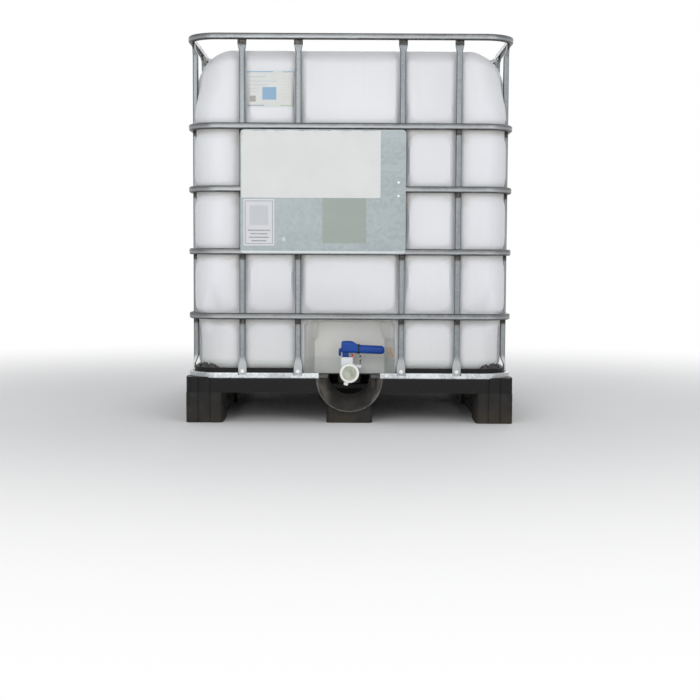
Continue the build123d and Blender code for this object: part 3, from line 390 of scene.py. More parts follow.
tank_low, tank_high = corners(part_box("tank"))
half_width = tank_high[0]
half_depth = -tank_low[1]
floor_z = tank_low[2] + SUMP_DROP
neck_top_z = tank_high[2]
well_z = neck_top_z - NECK_HEIGHT
top_z = well_z + WELL_DEPTH
recess_wall_y = -half_depth + RECESS_DEPTH
level_edges = [floor_z - 0.02, *ring_heights[:4], top_z + 0.02]


def smooth(t):
    """Smoothstep: 3t^2 - 2t^3 of t held between 0 and 1."""
    t = np.clip(t, 0.0, 1.0)
    return t * t * (3 - 2 * t)


def full_turn(count):
    """Angles round a circle, evenly spaced from 0."""
    return np.linspace(0.0, 2 * math.pi, count, endpoint=False)


def skin(name, grid, caps=False, round_profile=False, crease=38.0):
    """A mesh from a grid of rows of points, each row closed round; a cell becomes one face.

    With caps, the first and last rows are closed by a face. With a round profile, the last
    row joins the first, as on a ring. Rows run upwards and points anticlockwise from above.
    """
    rows, count = grid.shape[:2]
    index = np.arange(rows * count).reshape(rows, count)
    lower = index if round_profile else index[:-1]
    upper = np.roll(index, -1, axis=0) if round_profile else index[1:]
    cells = [lower, np.roll(lower, -1, axis=1), np.roll(upper, -1, axis=1), upper]
    faces = np.stack(cells, 2).reshape(-1, 4).tolist()
    if caps:
        faces += [index[0, ::-1].tolist(), index[-1].tolist()]
    mesh = bpy.data.meshes.new(name)
    mesh.from_pydata(grid.reshape(-1, 3).tolist(), [], faces)
    mesh.polygons.foreach_set("use_smooth", np.ones(len(mesh.polygons), bool))
    mesh.set_sharp_from_angle(angle=math.radians(crease))
    mesh.update()
    piece = bpy.data.objects.new(name, mesh)
    bpy.context.collection.objects.link(piece)
    return piece


def lathe(name, profile, centre, upright):
    """A ring turned from a closed profile of radius and distance pairs about Z, or else Y.

    The profile runs out along the low end, up the outside and down the inside.
    """
    profile = np.array(profile, float)
    angle = full_turn(LATHE_POINTS)
    across = profile[:, :1] * np.cos(angle)
    beside = profile[:, :1] * np.sin(angle)
    run = np.broadcast_to(profile[:, 1:], across.shape)
    parts = (across, beside, run) if upright else (beside, run, across)
    return skin(name, np.stack(parts, 2) + np.array(centre), round_profile=True)


def joined(name, *pieces):
    """One object from several closed meshes."""
    with bpy.context.temp_override(active_object=pieces[0], selected_editable_objects=list(pieces)):
        bpy.ops.object.join()
    pieces[0].name = name
    return pieces[0]


def finished(piece, finish, body, slot, *replaced):
    """Gives a piece its finish and its body, and hides the nodes that it stands for. The slot is not
    used.
    """
    piece.data.materials.clear()
    piece.data.materials.append(finish)
    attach(piece, body)
    for node in replaced:
        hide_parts(node)


def beyond_corners(dx, dz):
    """Distance outside a rectangle, less than 0 inside, from distances past its two sides."""
    return np.hypot(np.maximum(dx, 0.0), np.maximum(dz, 0.0)) + np.minimum(np.maximum(dx, dz), 0.0)


def straight_row(x, y, nx, ny):
    """A straight row of points with the one normal that they share."""
    x, y = np.broadcast_arrays(x, y)
    return np.stack([x, y, np.full(x.shape, nx), np.full(x.shape, ny)], 1)


def outline(step, fine_step):
    """Points and outward normals round a rectangle with round corners, from mid front.

    Each side is a straight row and each corner a quarter circle of radius CORNER; the front
    is divided finely across the valve's recess.
    """
    flat_x, flat_y = half_width - CORNER, half_depth - CORNER
    edge = RECESS_HALF_WIDTH + 0.02
    fine = np.arange(0.0, edge, fine_step)
    coarse = np.linspace(edge, flat_x, int((flat_x - edge) / step) + 2)
    front = np.concatenate([fine, coarse])
    side = np.linspace(-flat_y, flat_y, int(2 * flat_y / step))
    back = np.linspace(flat_x, -flat_x, int(2 * flat_x / step))
    turn = np.linspace(0.0, math.pi / 2, 19)[1:-1]

    def corner(x, y, start):
        cos, sin = np.cos(start + turn), np.sin(start + turn)
        return np.stack([x + CORNER * cos, y + CORNER * sin, cos, sin], 1)

    return np.concatenate([
        straight_row(front, -half_depth, 0.0, -1.0),
        corner(flat_x, -flat_y, -math.pi / 2),
        straight_row(half_width, side, 1.0, 0.0),
        corner(flat_x, flat_y, 0.0),
        straight_row(back, half_depth, 0.0, 1.0),
        corner(-flat_x, flat_y, math.pi / 2),
        straight_row(-half_width, side[::-1], -1.0, 0.0),
        corner(-flat_x, -flat_y, math.pi),
        straight_row(-front[:0:-1], -half_depth, 0.0, -1.0),
    ])


def recess_share(x, z):
    """How deep the valve recess is at a point of the front, from 0 to 1.

    The distance inside a rounded frame, over the taper, with soft upper and lower edges.
    """
    dx = np.abs(x) - (RECESS_HALF_WIDTH - RECESS_CORNER)
    dz = z - (RECESS_TOP - RECESS_CORNER)
    t = (RECESS_CORNER - beyond_corners(dx, dz)) / RECESS_TAPER
    return 0.7 * np.clip(t, 0.0, 1.0) + 0.3 * smooth(t)


def panel_rise(along, z, uprights):
    """How far the wall stands out in panels, and how far it lies in the painted shadow below a ring.

    Each panel is a rectangle with round corners that starts below one ring and runs down to
    the next, between two uprights: a smooth step at its edge, a little crown in its middle.
    The end panels run on round the tank's corners. The band is what the panels leave free.
    """
    rise, in_panel, ring_shadow_zone = np.zeros((3, *np.broadcast(along, z).shape))
    sides = [-2 * uprights[-1], *uprights, 2 * uprights[-1]]
    for left, right in zip(sides[:-1], sides[1:]):
        for low, high in zip(level_edges[:-1], level_edges[1:]):
            half_x = (right - left) / 2 - RING_HALF
            half_z = (high - PANEL_TOP_GAP - low - PANEL_FOOT_GAP) / 2
            middle_z = (high - PANEL_TOP_GAP + low + PANEL_FOOT_GAP) / 2
            dx = np.abs(along - (left + right) / 2) - (half_x - PANEL_CORNER)
            dz = np.abs(z - middle_z) - (half_z - PANEL_CORNER)
            inside = PANEL_CORNER - beyond_corners(dx, dz)
            crown = smooth(inside / PANEL_CROWN_REACH) * PANEL_CROWN
            rise = np.maximum(rise, smooth(inside / PANEL_EDGE) * PANEL_RISE + crown)
            in_panel = np.maximum(in_panel, smooth(inside / BAND_EDGE))
            near = smooth((z - high + BAND_REACH) / BAND_FADE) * (z < high)
            ring_shadow_zone = np.maximum(ring_shadow_zone, near)
    return rise, (1 - in_panel) * ring_shadow_zone


def clear_of_uprights(along, uprights):
    """1 away from the uprights and 0 behind each, with a smooth step at either side."""
    nearest = np.min([np.abs(along - upright) for upright in uprights], axis=0)
    return smooth((nearest - UPRIGHT_CLEAR) / UPRIGHT_EASE)


def wall(base, z, inset, swell):
    """Points of the tank's wall at each height, as an array of rows, points and x, y, z.

    Each row is the outline, moved in along its normals by the inset and by the rounding of
    the heel or the shoulder, out by the panels, and back by the recess at the front. At half
    height the wall bulges until it fills the rings, with tighter corners, save behind the
    uprights. Given with the points is how far each lies in the band below a ring, 0 to 1.
    """
    x, y, nx, ny = (base[None, :, k] for k in range(4))
    z = z[:, None]
    facing_side = smooth((np.abs(nx) - SIDE_FROM) / SIDE_EASE)

    def rounded(size, passed):
        """The share of a rounding that is passed, and how far in the wall is there."""
        share = np.clip(passed / (size - inset), 0.0, 1.0)
        return share, (size - inset) * (1 - np.sqrt(1 - share**2))

    def turned(on_front, on_side):
        """A value that changes from the front's to the side's round a corner."""
        return on_front * (1 - facing_side) + on_side * facing_side

    down, heel_pull = rounded(HEEL, floor_z + HEEL - z)
    up_front, front_pull = rounded(SHOULDER_FRONT, z - (top_z - SHOULDER_FRONT))
    up_side, side_pull = rounded(SHOULDER_SIDE, z - (top_z - SHOULDER_SIDE))
    up = up_side * nx**2 + up_front * ny**2
    calm = (1 - smooth(up * CALM_SHOULDER)) * (1 - smooth(down * CALM_HEEL))
    from_foot = z - BULGE_FOOT + BULGE_FOOT_LOWER_AT_SIDE * facing_side
    bulge = swell * smooth(from_foot / BULGE_FOOT_FADE) * smooth((BULGE_TOP - z) / BULGE_TOP_FADE)
    towards_x, towards_y = (
        np.sign(value) * np.clip((np.abs(value) - half + CORNER + BULGE_EASE) / BULGE_EASE, 0.0, 1.0)
        for value, half in ((x, half_width), (y, half_depth))
    )
    x = x + bulge * (BULGE_REACH[0] * towards_x - BULGE_TIGHTER * nx)
    y = y + bulge * (BULGE_REACH[1] * towards_y - BULGE_TIGHTER * ny)
    front_rise, front_band = panel_rise(x, z, FRONT_UPRIGHTS)
    side_rise, side_band = panel_rise(y, z, SIDE_UPRIGHTS)
    clear = turned(clear_of_uprights(x, FRONT_UPRIGHTS), clear_of_uprights(y, SIDE_UPRIGHTS))
    out = swell * turned(front_rise, side_rise) * calm - bulge * (1 - clear) * BULGE_GROOVE
    px = x - nx * (inset + heel_pull + side_pull - out)
    py = y - ny * (inset + heel_pull + front_pull - out)
    share = np.where(ny < -0.99, recess_share(x, z), 0.0)
    cut = -half_depth + inset + RECESS_DEPTH * share
    py = np.where(share > 0.0, np.maximum(py, cut), py)
    in_band = turned(front_band, side_band) * calm * (1 - share)
    return np.stack(np.broadcast_arrays(px, py, z), 2), in_band


def circle_row(base, radius, z):
    """The outline's points moved onto a circle, each at its own angle about the middle."""
    angle = np.arctan2(base[:, 1], base[:, 0])
    return np.stack([radius * np.cos(angle), radius * np.sin(angle), np.full(len(base), z)], 1)


def between(first, last, shares):
    """Rows in straight lines from one row to another, at the given shares of the way."""
    return np.stack([first + (last - first) * share for share in shares])


def clear_of_recess(rows, inset):
    """The floor's rows kept behind the recess, which is open below."""
    inside = np.abs(rows[..., 0]) < RECESS_HALF_WIDTH
    rows[..., 1] = np.where(inside, np.maximum(rows[..., 1], recess_wall_y + inset), rows[..., 1])
    return rows


base = outline(0.0105, 0.005)
quarter = np.linspace(0.0, math.pi / 2, 9)
heights = np.concatenate([
    floor_z + HEEL * (1 - np.cos(quarter))[:-1],
    np.arange(floor_z + HEEL, RECESS_TOP + 0.02, 0.006),
    np.arange(RECESS_TOP + 0.02, top_z - SHOULDER_SIDE, 0.0075),
    top_z - SHOULDER_SIDE + SHOULDER_SIDE * np.sin(np.linspace(0.0, math.pi / 2, 17)),
])
outer, outer_band = wall(base, heights, 0.0, 1.0)
middle = np.tile([0.0, 0.0, floor_z], (len(base), 1))
under_floor = clear_of_recess(between(middle, outer[0], (0.001, 0.3, 0.6, 0.85)), 0.0)
over_top = between(outer[-1], circle_row(base, WELL_RADIUS, top_z), (0.2, 0.45, 0.7, 0.9, 1.0))
neck_profile = (
    (WELL_FLOOR_RADIUS + 0.006, well_z + 0.003),
    (WELL_FLOOR_RADIUS - 0.004, well_z),
    (NECK_OUTER + 0.004, well_z),
    (NECK_OUTER, well_z + 0.003),
    (NECK_OUTER, neck_top_z - 0.001),
    (NECK_OUTER - 0.001, neck_top_z),
    (NECK_BORE + 0.001, neck_top_z),
    (NECK_BORE, neck_top_z - 0.001),
    (NECK_BORE, well_z - TANK_WALL),
    (WELL_FLOOR_RADIUS, well_z - TANK_WALL),
    (WELL_RADIUS + TANK_WALL, top_z - TANK_WALL),
)
neck = np.stack([circle_row(base, radius, z) for radius, z in neck_profile])
quarter = np.linspace(math.pi / 2, 0.0, 9)
heights = np.concatenate([
    top_z - SHOULDER_SIDE + (SHOULDER_SIDE - TANK_WALL) * np.sin(quarter),
    [0.60, RECESS_TOP + 0.012, RECESS_TOP, RECESS_TOP - 0.01, RECESS_TOP - RECESS_TAPER, 0.24],
    floor_z + HEEL - (HEEL - TANK_WALL) * np.sin(quarter[::-1]),
])
inner = wall(base, heights, TANK_WALL, 0.0)[0]
inner_floor = between(inner[-1], middle + (0.0, 0.0, TANK_WALL), (0.5, 0.999))
inner_floor = clear_of_recess(inner_floor, TANK_WALL)
tank_grid = np.concatenate([under_floor, outer, over_top, neck, inner, inner_floor])
tank_shell = skin("tank_shell", tank_grid, caps=True)
band_share = np.zeros(tank_grid.shape[:2])
band_share[len(under_floor):len(under_floor) + len(outer)] = outer_band
painted_ring_shadow = tank_shell.data.attributes.new("painted_ring_shadow", "FLOAT", "POINT")
painted_ring_shadow.data.foreach_set("value", band_share.ravel())

# Thread ridges on the neck, the outlet spout and the sump under it.
ridge_profile = [
    (NECK_OUTER + out, level)
    for out, level in ((-0.001, -0.002), (0.0012, -0.0006), (0.0012, 0.0006), (-0.001, 0.002))
]
ridges = [
    lathe(f"ridge_{turn}", ridge_profile, (0.0, 0.0, neck_top_z - drop), upright=True)
    for turn, drop in enumerate((0.005, 0.017))
]
outlet_low, outlet_high = corners(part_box("outlet_gasket"))
outlet_z = 0.5 * (outlet_low[2] + outlet_high[2])
spout_end_y = outlet_high[1]
SPOUT_RADIUS = 0.025
SPOUT_BORE = 0.020
spout = lathe(
    "spout",
    [
        (SPOUT_BORE, spout_end_y),
        (SPOUT_RADIUS - 0.001, spout_end_y),
        (SPOUT_RADIUS, spout_end_y + 0.001),
        (SPOUT_RADIUS, recess_wall_y - 0.005),
        (SPOUT_RADIUS + 0.006, recess_wall_y + 0.002),
        (SPOUT_BORE, recess_wall_y + 0.002),
    ],
    (0.0, 0.0, outlet_z),
    upright=False,
)
SUMP_HALF_WIDTH = 0.036
SUMP_LENGTH = 0.108
SUMP_CORNER = 0.014
SUMP_POINTS = 48
SUMP_PROFILE = ((0.94, 0.0), (0.98, 0.002), (1.0, 0.006), (1.0, SUMP_DROP + 0.002))
sump_turn = full_turn(SUMP_POINTS) + math.pi / SUMP_POINTS
sump_x, sump_y = (
    np.sign(way) * (half - SUMP_CORNER) + SUMP_CORNER * way
    for way, half in ((np.cos(sump_turn), SUMP_HALF_WIDTH), (np.sin(sump_turn), SUMP_LENGTH / 2))
)
sump_middle_y = recess_wall_y + SUMP_LENGTH / 2
sump_rows = [
    np.stack([sump_x * k, sump_y * k + sump_middle_y, np.full(SUMP_POINTS, tank_low[2] + rise)], 1)
    for k, rise in SUMP_PROFILE
]
sump = skin("sump", np.stack(sump_rows), caps=True)
tank_skin = joined("tank_skin", tank_shell, spout, sump, *ridges)


def band(value, low, high, soft=0.0006):
    """1 between two places along a wire and 0 outside, with softened edges."""
    return value.step(low - soft, low + soft) * value.step(high + soft, high - soft)


tank_finish, place = start_finish("tank_plastic")
height = place.axis("Z")
cloud = place.noise(3.2, 3.0, 0.5, (1, 1, 0.5))
streak = place.noise(14.0, 4.0, 0.6, (1, 1, 0.12))
drag = place.noise(45.0, 3.0, 0.6, (1, 1, 0.05))
residue = (height + (streak - 0.5) * 0.012).step(0.196, 0.186)
haze = (height + cloud * 0.06).step(0.36, 0.20)
ring_shadow_zone = place.node("Attribute", {"attribute_name": "painted_ring_shadow"}, out=2)
deep = place.axis("Y")
# Painted light: the valve recess's walls are painted paler, standing in for light that reaches into it.
recess_painted_light = deep.step(0.004 - half_depth, 0.028 - half_depth) * band(place.axis("X"), -0.15, 0.15)
recess_painted_light = recess_painted_light * height.step(0.350, 0.342)
recess_painted_light = recess_painted_light * deep.step(recess_wall_y + 0.002, recess_wall_y + 0.001)
milk = layered(
    blend_colours(cloud.step(0.25, 0.75), (0.665, 0.675, 0.70), (0.72, 0.73, 0.755)),
    (drag.step(0.5, 0.8) * 0.22, (0.61, 0.62, 0.635)),
    # Painted shadow: the band below each ring is painted beige-grey, as the ring's shadow.
    (ring_shadow_zone * 0.7, (0.56, 0.55, 0.525)),
    (recess_painted_light, (0.95, 0.945, 0.90)),
    (haze * 0.4, (0.62, 0.62, 0.60)),
    (residue * 0.5, (0.58, 0.62, 0.60)),
    # Painted shade: the tank's lowest part, below 0.14 m under the valve, is painted near black.
    (height.step(0.1405, 0.1385), (0.05, 0.05, 0.045)),
)
fine = place.noise(260.0, 2.0)
coat_with(
    tank_finish,
    Base_Color=milk,
    Roughness=0.36 + streak * 0.16,
    Specular_IOR_Level=0.4,
    Subsurface_Weight=0.35,
    Subsurface_Radius=(0.03, 0.03, 0.031),
    Subsurface_Scale=1.0,
    Normal=bumped(cloud * 0.7 + drag * 0.05 + fine * 0.03, 0.3, 0.004),
)
finished(tank_skin, tank_finish, "container", "tank_plastic", "tank")


# ---------------------------------------------------------------- tank's label
# A cream paper label stuck to the tank between two uprights, with coloured rules and blank
# fields. It follows the panel's crown, and one corner has begun to lift.
LABEL_STAND_OFF = 0.0005
LABEL_SHEET = 0.0003
CURL_LIFT = 0.004
CURL_REACH = 0.03
label_low, label_high = corners(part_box("tank_label"))


def sheet_loop(name, front, back):
    """A thin closed sheet from two grids of points: its front face and its back face.

    Each row goes along the front and returns along the back, and its two ends are capped.
    """
    return skin(name, np.concatenate([front, back[:, ::-1]], axis=1), caps=True, crease=60.0)


def upright_sheet(name, x, y, z, thick):
    """A thin closed sheet that faces the front, from the x, y and z of its face's points."""
    return sheet_loop(name, np.stack([x, y, z], 2), np.stack([x, y + thick, z], 2))


def front_of_tank(x, z):
    """The tank's front at a grid of places, by the panels' own formula."""
    return wall(straight_row(x, -half_depth, 0.0, -1.0), z, 0.0, 1.0)[0][..., 1]


across = np.linspace(label_low[0], label_high[0], 40)
along = np.linspace(label_low[2], label_high[2], 30)
label_y = front_of_tank(across, along)
grid_x, grid_z = np.meshgrid(across, along)
near_right = smooth(1 + (grid_x - across[-1]) / CURL_REACH)
near_top = smooth(1 + (grid_z - along[-1]) / CURL_REACH)
front_y = label_y - LABEL_STAND_OFF - CURL_LIFT * near_right * near_top
tank_paper = upright_sheet("tank_paper", grid_x, front_y, grid_z, LABEL_SHEET)

label_finish, place = start_finish("label_paper")
wide, height = place.axis("X"), place.axis("Z")
left, top = label_low[0], label_high[2]
foot = label_low[2]
FIELD_INK = (0.25, 0.38, 0.50)
FIELDS = (
    # drop from the label's top, right end, ink
    (0.016, 0.060, 0.65),
    (0.029, 0.095, 0.45),
    (0.040, 0.068, 0.45),
    (0.052, 0.040, 0.35),
    (0.060, 0.036, 0.35),
)
fields = []
for drop, end, ink in FIELDS:
    field = band(height, top - drop - 0.0022, top - drop) * band(wide, left + 0.010, left + end)
    fields.append((field * ink, FIELD_INK))
top_rule = band(height, top - 0.0035, top - 0.001) * (1.0 - band(wide, left + 0.082, left + 0.110))
low_rule = band(height, foot + 0.002, foot + 0.0042)
block = band(height, foot + 0.014, foot + 0.032) * band(wide, left + 0.012, left + 0.030)
panel_block = band(height, foot + 0.020, foot + 0.058) * band(wide, left + 0.050, left + 0.092)
column = band(wide, left + 0.110, left + 0.136) * band(height, foot + 0.012, top - 0.012)
lines = (height * 700.0).math("SINE").step(0.55, 0.9)
paper = layered(
    blend_colours(place.noise(30.0, 3.0), (0.54, 0.55, 0.53), (0.62, 0.63, 0.61)),
    (top_rule * 0.9, (0.10, 0.30, 0.50)),
    (low_rule * band(wide, left + 0.004, left + 0.055), (0.12, 0.22, 0.30)),
    (low_rule * band(wide, left + 0.105, left + 0.138), (0.25, 0.42, 0.22)),
    *fields,
    (block * 0.8, (0.24, 0.23, 0.21)),
    (panel_block * 0.75, (0.08, 0.27, 0.47)),
    (column * lines * 0.25, (0.45, 0.45, 0.42)),
)
relief = bumped(place.noise(60.0, 3.0), 0.2, 0.0006)
coat_with(label_finish, Base_Color=paper, Roughness=0.45, Normal=relief)
finished(tank_paper, label_finish, "container", "label_film", "tank_label")

# An orange sticker on the slanting right wall of the valve's recess.
ORANGE_DEPTHS = (0.031, 0.049)
ORANGE_HEIGHTS = (0.201, 0.235)
ORANGE_LEAN = 0.12
recess_side_slope = RECESS_TAPER / RECESS_DEPTH
grid_depth, grid_z = np.meshgrid(np.linspace(*ORANGE_DEPTHS, 12), np.linspace(*ORANGE_HEIGHTS, 8))
grid_depth = grid_depth + grid_z - sum(ORANGE_HEIGHTS) / 2
grid_z = grid_z - grid_depth * ORANGE_LEAN
side_x = RECESS_HALF_WIDTH - grid_depth * recess_side_slope - LABEL_STAND_OFF
orange_sticker = sheet_loop(
    "orange_sticker",
    np.stack([side_x - LABEL_SHEET, grid_depth - half_depth, grid_z], 2)[:, ::-1],
    np.stack([side_x, grid_depth - half_depth, grid_z], 2)[:, ::-1],
)
orange_finish, place = start_finish("orange_film")
coat_with(
    orange_finish,
    Base_Color=blend_colours(place.noise(80.0, 3.0), (0.86, 0.33, 0.06), (0.98, 0.46, 0.10)),
    Roughness=0.4,
)
finished(orange_sticker, orange_finish, "container", "label_film")


# ---------------------------------------------------------------- lid and vent
# A black screw lid with grip lugs on the filling neck, and a red vent plug in its middle.
# The lid's top is ringed with shallow grooves left by its mould, and dust lies on it.
def moulded(name, dark, pale, rough, grain=220.0, dust=0.0, coat=0.0):
    """Injection-moulded plastic: fine grain, a slow change of tone and a little dust on top."""
    finish, place = start_finish(name)
    tone = place.noise(11.0, 4.0, 0.6)
    pores = place.noise(grain, 2.0)
    colour = blend_colours(tone.step(0.3, 0.7), dark, pale)
    if dust:
        facing_up = place.node("NewGeometry", out=1).axis("Z")
        lying = facing_up.step(0.5, 1.0) * place.noise(60.0, 5.0, 0.7).step(0.3, 0.8)
        colour = blend_colours(lying * dust, colour, (0.36, 0.34, 0.31))
    coat_with(
        finish,
        Base_Color=colour,
        Roughness=rough + (tone - 0.5) * 0.12,
        Coat_Weight=coat,
        Normal=bumped(pores + tone * 0.6, 0.3, 0.0004),
    )
    return finish


dress(moulded("lid_plastic", (0.018, 0.018, 0.018), (0.035, 0.034, 0.033), 0.45, dust=0.5), "lid")
dress(moulded("vent_plastic", (0.46, 0.03, 0.02), (0.60, 0.05, 0.03), 0.38, dust=0.3), "vent_plug")
seal_finish = moulded("seal_rubber", (0.012, 0.012, 0.012), (0.022, 0.022, 0.022), 0.6)
dress(seal_finish, "lid_gasket", "vent_gasket", "outlet_gasket", "stem_seal")


# ---------------------------------------------------------------- outlet valve
# A white polyethylene butterfly valve held to the spout by a ribbed union nut, with a
# tower for its stem. Its surface is satin and a little soiled around the bottom.
valve_finish, place = start_finish("valve_plastic")
soil = place.noise(32.0, 4.0, 0.6).step(0.5, 0.75) * place.axis("Z").step(0.20, 0.13)
white = blend_colours(place.noise(15.0), (0.66, 0.68, 0.71), (0.74, 0.76, 0.79))
coat_with(
    valve_finish,
    Base_Color=blend_colours(soil * 0.4, white, (0.42, 0.40, 0.35)),
    Roughness=0.32 + soil * 0.2,
    Subsurface_Weight=0.1,
    Subsurface_Radius=(0.004, 0.004, 0.004),
    Subsurface_Scale=1.0,
    Normal=bumped(place.noise(160.0, 2.0), 0.25, 0.0003),
)
dress(valve_finish, "valve_body", "union_nut")
for name in ("valve_disc", "valve_stem"):
    dress(moulded(name + "_plastic", (0.26, 0.27, 0.26), (0.36, 0.37, 0.36), 0.4), name)
dress(moulded("lock_plastic", (0.60, 0.03, 0.02), (0.75, 0.06, 0.03), 0.3), "lock_pin")

# The blue lever: a block over the stem that narrows to a flat round-edged grip. Each
# section across it is a superellipse, and a hook and a stop hang below the block.
handle_low, handle_high = corners(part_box("valve_handle"))
stem_y = 0.5 * (handle_low[1] + handle_high[1])
HOOK_WIDTH = 0.008
HEAD_DEPTH = 0.0165
GRIP_DEPTH = 0.0133
handle_stations = np.array([
    # along, top and bottom below the lever's top, half depth, squareness
    (0.0082, -0.0140, -0.0270, 0.0080, 2.6),
    (0.0085, -0.0055, -0.0335, 0.0135, 4.0),
    (0.0100, -0.0022, -0.0352, 0.0155, 5.0),
    (0.0140, -0.0006, -0.0359, HEAD_DEPTH, 6.0),
    (0.0220, -0.0001, -0.0360, HEAD_DEPTH, 6.0),
    (0.0340, -0.0002, -0.0360, HEAD_DEPTH, 6.0),
    (0.0420, -0.0012, -0.0362, 0.0163, 5.5),
    (0.0500, -0.0050, -0.0369, 0.0153, 4.6),
    (0.0570, -0.0095, -0.0377, 0.0142, 3.8),
    (0.0640, -0.0116, -0.0381, GRIP_DEPTH, 3.2),
    (0.0760, -0.0123, -0.0384, GRIP_DEPTH, 3.0),
    (0.1000, -0.0133, -0.0394, GRIP_DEPTH, 3.0),
    (0.1200, -0.0142, -0.0401, GRIP_DEPTH, 3.0),
    (0.1320, -0.0149, -0.0405, 0.0130, 2.9),
    (0.1385, -0.0170, -0.0390, 0.0118, 2.7),
    (0.1418, -0.0210, -0.0355, 0.0085, 2.5),
    (0.1429, -0.0260, -0.0305, 0.0030, 2.2),
])


def superellipse(turn, power):
    """Points round |u|^p + |v|^p = 1: cos and sin raised to 2/p with their signs kept."""
    cos, sin = np.cos(turn), np.sin(turn)
    return np.sign(cos) * np.abs(cos) ** (2 / power), np.sign(sin) * np.abs(sin) ** (2 / power)


def smoothed(rows, times):
    """More rows between the given ones, by Catmull-Rom curves through them."""
    ends = np.concatenate([2 * rows[:1] - rows[1:2], rows, 2 * rows[-1:] - rows[-2:-1]])
    t = np.linspace(0.0, 1.0, times, endpoint=False)[:, None]
    pieces = [
        b
        + 0.5 * t * (c - a)
        + t**2 * (a - 2.5 * b + 2 * c - 0.5 * d)
        + t**3 * (1.5 * (b - c) + 0.5 * (d - a))
        for a, b, c, d in zip(ends[:-3], ends[1:-2], ends[2:-1], ends[3:])
    ]
    return np.concatenate([*pieces, rows[-1:]])


stations = smoothed(handle_stations, 4)
u, v = superellipse(full_turn(64)[None, :], stations[:, 4:5])
lever_x, upper, lower, half_y = (stations[:, k:k + 1] for k in range(4))
lever_z = handle_high[2] + 0.5 * (upper + lower) + 0.5 * (upper - lower) * v
lever_grid = np.stack([handle_low[0] + lever_x + 0 * u, stem_y + half_y * u, lever_z], 2)
lever = skin("lever", lever_grid, caps=True)


def peg(name, centre_x, half_x, half_y, low, high):
    """An upright peg of superellipse section with its edges rounded at both ends."""
    u, v = superellipse(full_turn(40), 4.0)
    shares = np.array([0.80, 0.95, 1.0, 1.0, 0.95, 0.80])[:, None]
    levels = np.array([low, low + 0.0003, low + 0.0012, high - 0.0012, high - 0.0003, high])[:, None]
    grid = [centre_x + half_x * u * shares, stem_y + half_y * v * shares, levels + 0 * u]
    return skin(name, np.stack(grid, 2), caps=True)


hook_x = handle_low[0] + HOOK_WIDTH / 2
hook = peg("hook", hook_x, HOOK_WIDTH / 2, 0.007, handle_low[2] + 0.0034, handle_high[2] - 0.0265)
hook_arm = peg("hook_arm", hook_x + 0.004, 0.006, 0.007, handle_high[2] - 0.0335, handle_high[2] - 0.0225)
stop = peg("stop", -0.012, 0.010, 0.008, handle_low[2], handle_high[2] - 0.0340)
lever = joined("lever", lever, hook, hook_arm, stop)
handle_finish = moulded(
    "handle_plastic", (0.001, 0.036, 0.23), (0.002, 0.056, 0.33), 0.45, grain=300.0, dust=0.05
)
coat_with(handle_finish, Specular_IOR_Level=0.3)
finished(lever, handle_finish, "handle", "handle_plastic", "valve_handle")

# The tamper tie: a black nylon band round the lever and a tail of light and dark links.
dress(moulded("tie_nylon", (0.003, 0.003, 0.003), (0.006, 0.006, 0.006), 0.6), "tie_band")
tail_low, tail_high = corners(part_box("tie_tail"))
tail_finish, place = start_finish("tie_tail_nylon")
height = place.axis("Z")
share = (height - tail_low[2]) / float(tail_high[2] - tail_low[2])
pale_link = band(share, 0.52, 0.66, 0.02) + band(share, 0.90, 1.1, 0.02)
coat_with(
    tail_finish,
    Base_Color=blend_colours(pale_link, (0.012, 0.012, 0.013), (0.72, 0.72, 0.71)),
    Roughness=0.4,
    Normal=bumped(place.noise(400.0), 0.3, 0.0002),
)
TAIL_HALF = 0.0024
tail_middle = 0.5 * (tail_low + tail_high)
levels = np.linspace(tail_low[2], tail_high[2], 60)
twist = 0.9 * np.sin((levels - levels[0]) * 130.0)[:, None]
waist = (1 - 0.45 * smooth(np.abs(np.sin((levels - levels[0]) * 250.0)) * 1.4 - 0.4))[:, None]
u, v = superellipse(full_turn(24)[None, :], 3.0)
tail = np.stack([
    tail_middle[0] + TAIL_HALF * waist * (u * np.cos(twist) - 0.6 * v * np.sin(twist)),
    tail_middle[1] + TAIL_HALF * waist * (u * np.sin(twist) + 0.6 * v * np.cos(twist)),
    levels[:, None] + 0 * u,
], 2)
finished(skin("tie_links", tail, caps=True), tail_finish, "container", "tie_nylon", "tie_tail")


# ---------------------------------------------------------------- dust cap
# A white pull-off cap over the outlet's thread, with a milky grey-green window pressed into
# it. The rim is rounded, and the window is mottled from behind.
dress(moulded("cap_plastic", (0.70, 0.70, 0.66), (0.80, 0.80, 0.77), 0.36, coat=0.1), "dust_cap")
window_finish, place = start_finish("cap_window_film")
mottle = place.noise(55.0, 3.0, 0.55)
ripple = place.noise(240.0, 2.0)
coat_with(
    window_finish,
    Base_Color=blend_colours(mottle.step(0.32, 0.7), (0.30, 0.33, 0.26), (0.46, 0.48, 0.40)),
    Roughness=0.22 + mottle * 0.15,
    Normal=bumped(mottle * 0.8 + ripple * 0.2, 0.5, 0.0012),
)
dress(window_finish, "cap_window")


